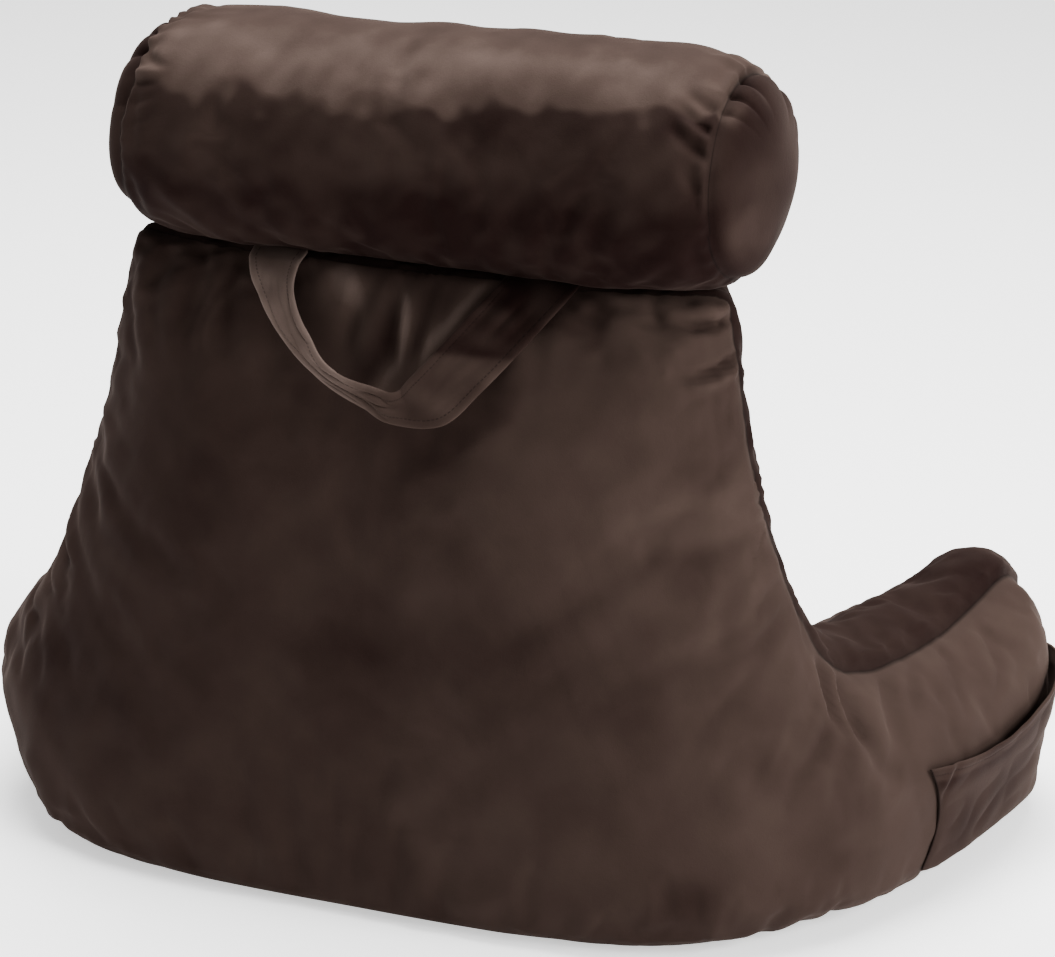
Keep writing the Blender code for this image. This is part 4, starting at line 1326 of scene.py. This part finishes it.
@dataclass(frozen=True)
class BrushedVelvet:
    """Short brushed pile: soft light and dark areas, from stroked pile and from the painted light and shade
    that each piece carries, and a fine fur of fibres.
    """

    name: str
    dark: tuple[float, float, float] = (0.0050, 0.0017, 0.0014)
    middle: tuple[float, float, float] = (0.0305, 0.0196, 0.0158)
    light: tuple[float, float, float] = (0.1020, 0.0730, 0.0620)
    sheen: float = 0.05
    sheen_roughness: float = 0.32
    sheen_tint: tuple[float, float, float] = (0.70, 0.50, 0.42)
    specular_level: float = 0.04
    wander_scale: float = 7.0
    wander: float = 0.08
    cloud_scale: float = 11.0
    mottle_scale: float = 46.0
    pile_scale: float = 300.0
    fibre_scale: float = 950.0
    cloud_share: float = 0.16
    mottle_share: float = 0.10
    fibre_share: float = 0.10
    stitched: bool = False

    def build(self) -> bpy.types.Material:
        """Makes the material."""
        finish = Finish(self.name)
        place = finish.node("ShaderNodeTexCoord").outputs["Object"]
        wander = finish.node(
            "ShaderNodeTexNoise", Vector=place, Scale=self.wander_scale, Detail=3.0, Roughness=0.6
        )
        stroked = finish.node("ShaderNodeVectorMath", {"operation": "SCALE"}, Scale=self.wander)
        finish.feed(stroked.inputs[0], wander.outputs["Color"])
        shifted = finish.node("ShaderNodeVectorMath", {"operation": "ADD"})
        finish.feed(shifted.inputs[0], place)
        finish.feed(shifted.inputs[1], stroked.outputs["Vector"])
        brushed = shifted.outputs["Vector"]
        clouds = self.noise(finish, brushed, self.cloud_scale, 4.0, 0.55)
        mottle = self.noise(finish, brushed, self.mottle_scale, 3.0, 0.62)
        fibres = self.noise(finish, place, self.fibre_scale, 2.0, 0.7)
        pile = self.noise(finish, place, self.pile_scale, 3.0, 0.65)
        side = finish.attribute("seam")
        nap_and_painted_light = finish.attribute("nap_and_painted_light") + finish.attribute("strip") * side.ramp(-0.0009, 0.0005, 1.0, 0.0)
        lie = nap_and_painted_light + (clouds - 0.5) * self.cloud_share + (mottle - 0.5) * self.mottle_share
        shade = (lie + (fibres - 0.5) * self.fibre_share).math("ADD", 0.0, clamp=True)
        colour = finish.node("ShaderNodeValToRGB", Fac=shade)
        stops = colour.color_ramp.elements
        stops[0].color = (*self.dark, 1)
        stops[1].color = (*self.light, 1)
        stops.new(0.5).color = (*self.middle, 1)
        # Painted shade in the seams' creases: the colour is darker within about a centimetre of a seam, most
        # within two millimetres
        seam = abs(side)
        shading = seam.ramp(0.0003, 0.0018, 0.50, 1.0) * seam.ramp(0.0, 0.010, 0.84, 1.0)
        height = pile * 0.55 + fibres * 0.45
        if self.stitched:
            stitches = self.stitches(finish)
            shading = shading * (1 - stitches * 0.45)
            height = height - stitches * 1.5
        shaded = finish.node("ShaderNodeMix", {"data_type": "RGBA", "blend_type": "MULTIPLY"})
        shaded.inputs["Factor"].default_value = 1.0
        finish.feed(shaded.inputs[6], colour.outputs["Color"])
        finish.feed(shaded.inputs[7], finish.grey(shading))
        bump = finish.node("ShaderNodeBump", Strength=0.35, Distance=0.0008, Height=height)
        finish.set(
            Base_Color=shaded.outputs[2],
            Roughness=lie.ramp(0.0, 1.0, 0.95, 0.78),
            Metallic=0.0,
            Sheen_Weight=self.sheen,
            Sheen_Roughness=self.sheen_roughness,
            Sheen_Tint=(*self.sheen_tint, 1.0),
            Normal=bump.outputs["Normal"],
        )
        finish.shader.inputs["Specular IOR Level"].default_value = self.specular_level
        return finish.material

    @staticmethod
    def noise(finish: Finish, place: bpy.types.NodeSocket, scale: float, detail: float, rough: float) -> Value:
        """A soft noise at a scale, around one half."""
        made = finish.node("ShaderNodeTexNoise", Vector=place, Scale=scale, Detail=detail, Roughness=rough)
        return finish.value(made.outputs["Fac"])

    @staticmethod
    def stitches(finish: Finish) -> Value:
        """A row of small stitches that holds the hem, 1 in each stitch."""
        edge, run = finish.attribute("edge"), finish.attribute("run")
        line = abs(edge - 0.006).ramp(0.0002, 0.0007, 1.0, 0.0)
        gaps = (run * (2 * math.pi / 0.0032)).math("SINE").ramp(-0.55, -0.1)
        return line * gaps


@dataclass(frozen=True)
class Studio:
    """A plain pale floor, soft light and the camera at the photograph's angle."""

    focal_px: float = 4400.0
    azimuth: float = 204.0
    elevation: float = 18.2
    distance: float = 3.515
    target: tuple[float, float, float] = (-0.0466, 0.0, 0.3135)
    floor_size: float = 40.0
    floor_glow: float = 0.85
    surround: float = 0.6
    top_place: tuple[float, float, float] = (0.1, -0.5, 3.0)
    top_aim: tuple[float, float, float] = (0.0, 0.1, 0.4)
    top_size: float = 2.2
    top_power: float = 330.0
    right_place: tuple[float, float, float] = (-2.8, 0.45, 1.3)
    right_aim: tuple[float, float, float] = (0.0, 0.1, 0.3)
    right_size: float = 1.6
    right_power: float = 165.0

    def build(self, shift: Vector) -> None:
        """Makes the floor, lights, world and camera."""
        self.floor()
        self.camera(Vector(self.target) + shift)
        self.lights()

    def floor(self) -> None:
        """A wide pale plane under the pillow."""
        mesh = bmesh.new()
        bmesh.ops.create_grid(mesh, x_segments=1, y_segments=1, size=self.floor_size / 2)
        bmesh.ops.translate(mesh, vec=(0, 0, -0.0005), verts=mesh.verts)
        piece = make_piece("studio_floor", mesh)
        finish = Finish("pale_floor")
        finish.set(Base_Color=(0.94, 0.94, 0.94, 1), Roughness=0.9)
        finish.set(Emission_Color=(1.0, 1.0, 1.0, 1), Emission_Strength=self.floor_glow)
        piece.data.materials.append(finish.material)

    def back(self) -> Vector:
        """The direction from the pillow to the camera."""
        turn, rise = math.radians(self.azimuth), math.radians(self.elevation)
        return Vector((math.sin(turn) * math.cos(rise), -math.cos(turn) * math.cos(rise), math.sin(rise)))

    def camera(self, target: Vector) -> None:
        """The camera that frames the pillow as the photograph does."""
        data = bpy.data.cameras.new("photo_camera")
        data.sensor_width = SENSOR_WIDTH
        data.lens = SENSOR_WIDTH * self.focal_px / IMAGE_WIDTH
        made = bpy.data.objects.new("photo_camera", data)
        made.location = target + self.back() * self.distance
        made.rotation_euler = (-self.back()).to_track_quat("-Z", "Y").to_euler()
        bpy.context.scene.collection.objects.link(made)
        bpy.context.scene.camera = made

    def lights(self) -> None:
        """A strong soft light above, a softer one on the camera's right, and a weak even surround."""
        world = bpy.data.worlds.new("pale_surround")
        bpy.context.scene.world = world
        world.use_nodes = True
        world.node_tree.nodes["Background"].inputs["Color"].default_value = (1, 1, 1, 1)
        world.node_tree.nodes["Background"].inputs["Strength"].default_value = self.surround
        self.area("top_light", self.top_place, self.top_aim, self.top_size, self.top_power)
        self.area("right_light", self.right_place, self.right_aim, self.right_size, self.right_power)

    def area(
        self,
        name: str,
        place: tuple[float, float, float],
        aim: tuple[float, float, float],
        size: float,
        power: float,
    ) -> None:
        """A square soft light at a place, turned towards a point."""
        data = bpy.data.lights.new(name, "AREA")
        data.size = size
        data.energy = power
        made = bpy.data.objects.new(name, data)
        made.location = place
        made.rotation_euler = (Vector(aim) - Vector(place)).to_track_quat("-Z", "Y").to_euler()
        bpy.context.scene.collection.objects.link(made)


def dress_piece(piece: bpy.types.Object, finish: bpy.types.Material, nodes: Iterable[str]) -> None:
    """Gives a piece its finish, hangs it on the root body and hides the CAD nodes that it stands for."""
    piece.data.materials.clear()
    piece.data.materials.append(finish)
    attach(piece, "root")
    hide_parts(*nodes)


def main() -> None:
    """Builds the scene."""
    logging.basicConfig(level=logging.INFO, format="%(name)s: %(message)s", force=True)
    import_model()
    cover = BrushedVelvet(Slot.COVER.value).build()
    trim = BrushedVelvet(Slot.TRIM.value, cloud_scale=16.0, stitched=True).build()
    plan = PanelPlan()
    Studio().build(plan.frame_shift)
    body = FilledBody(plan).build()
    dress_piece(body, cover, ["back_and_arms"])
    roll = NeckRoll().build()
    dress_piece(roll, cover, ["neck_roll"])
    handle = CarryHandle(plan).build()
    dress_piece(handle, trim, ["carry_handle"])
    pocket = SidePocket(plan).build()
    dress_piece(pocket, trim, ["side_pocket"])
    bpy.context.view_layer.update()


if __name__ == "__main__":
    main()
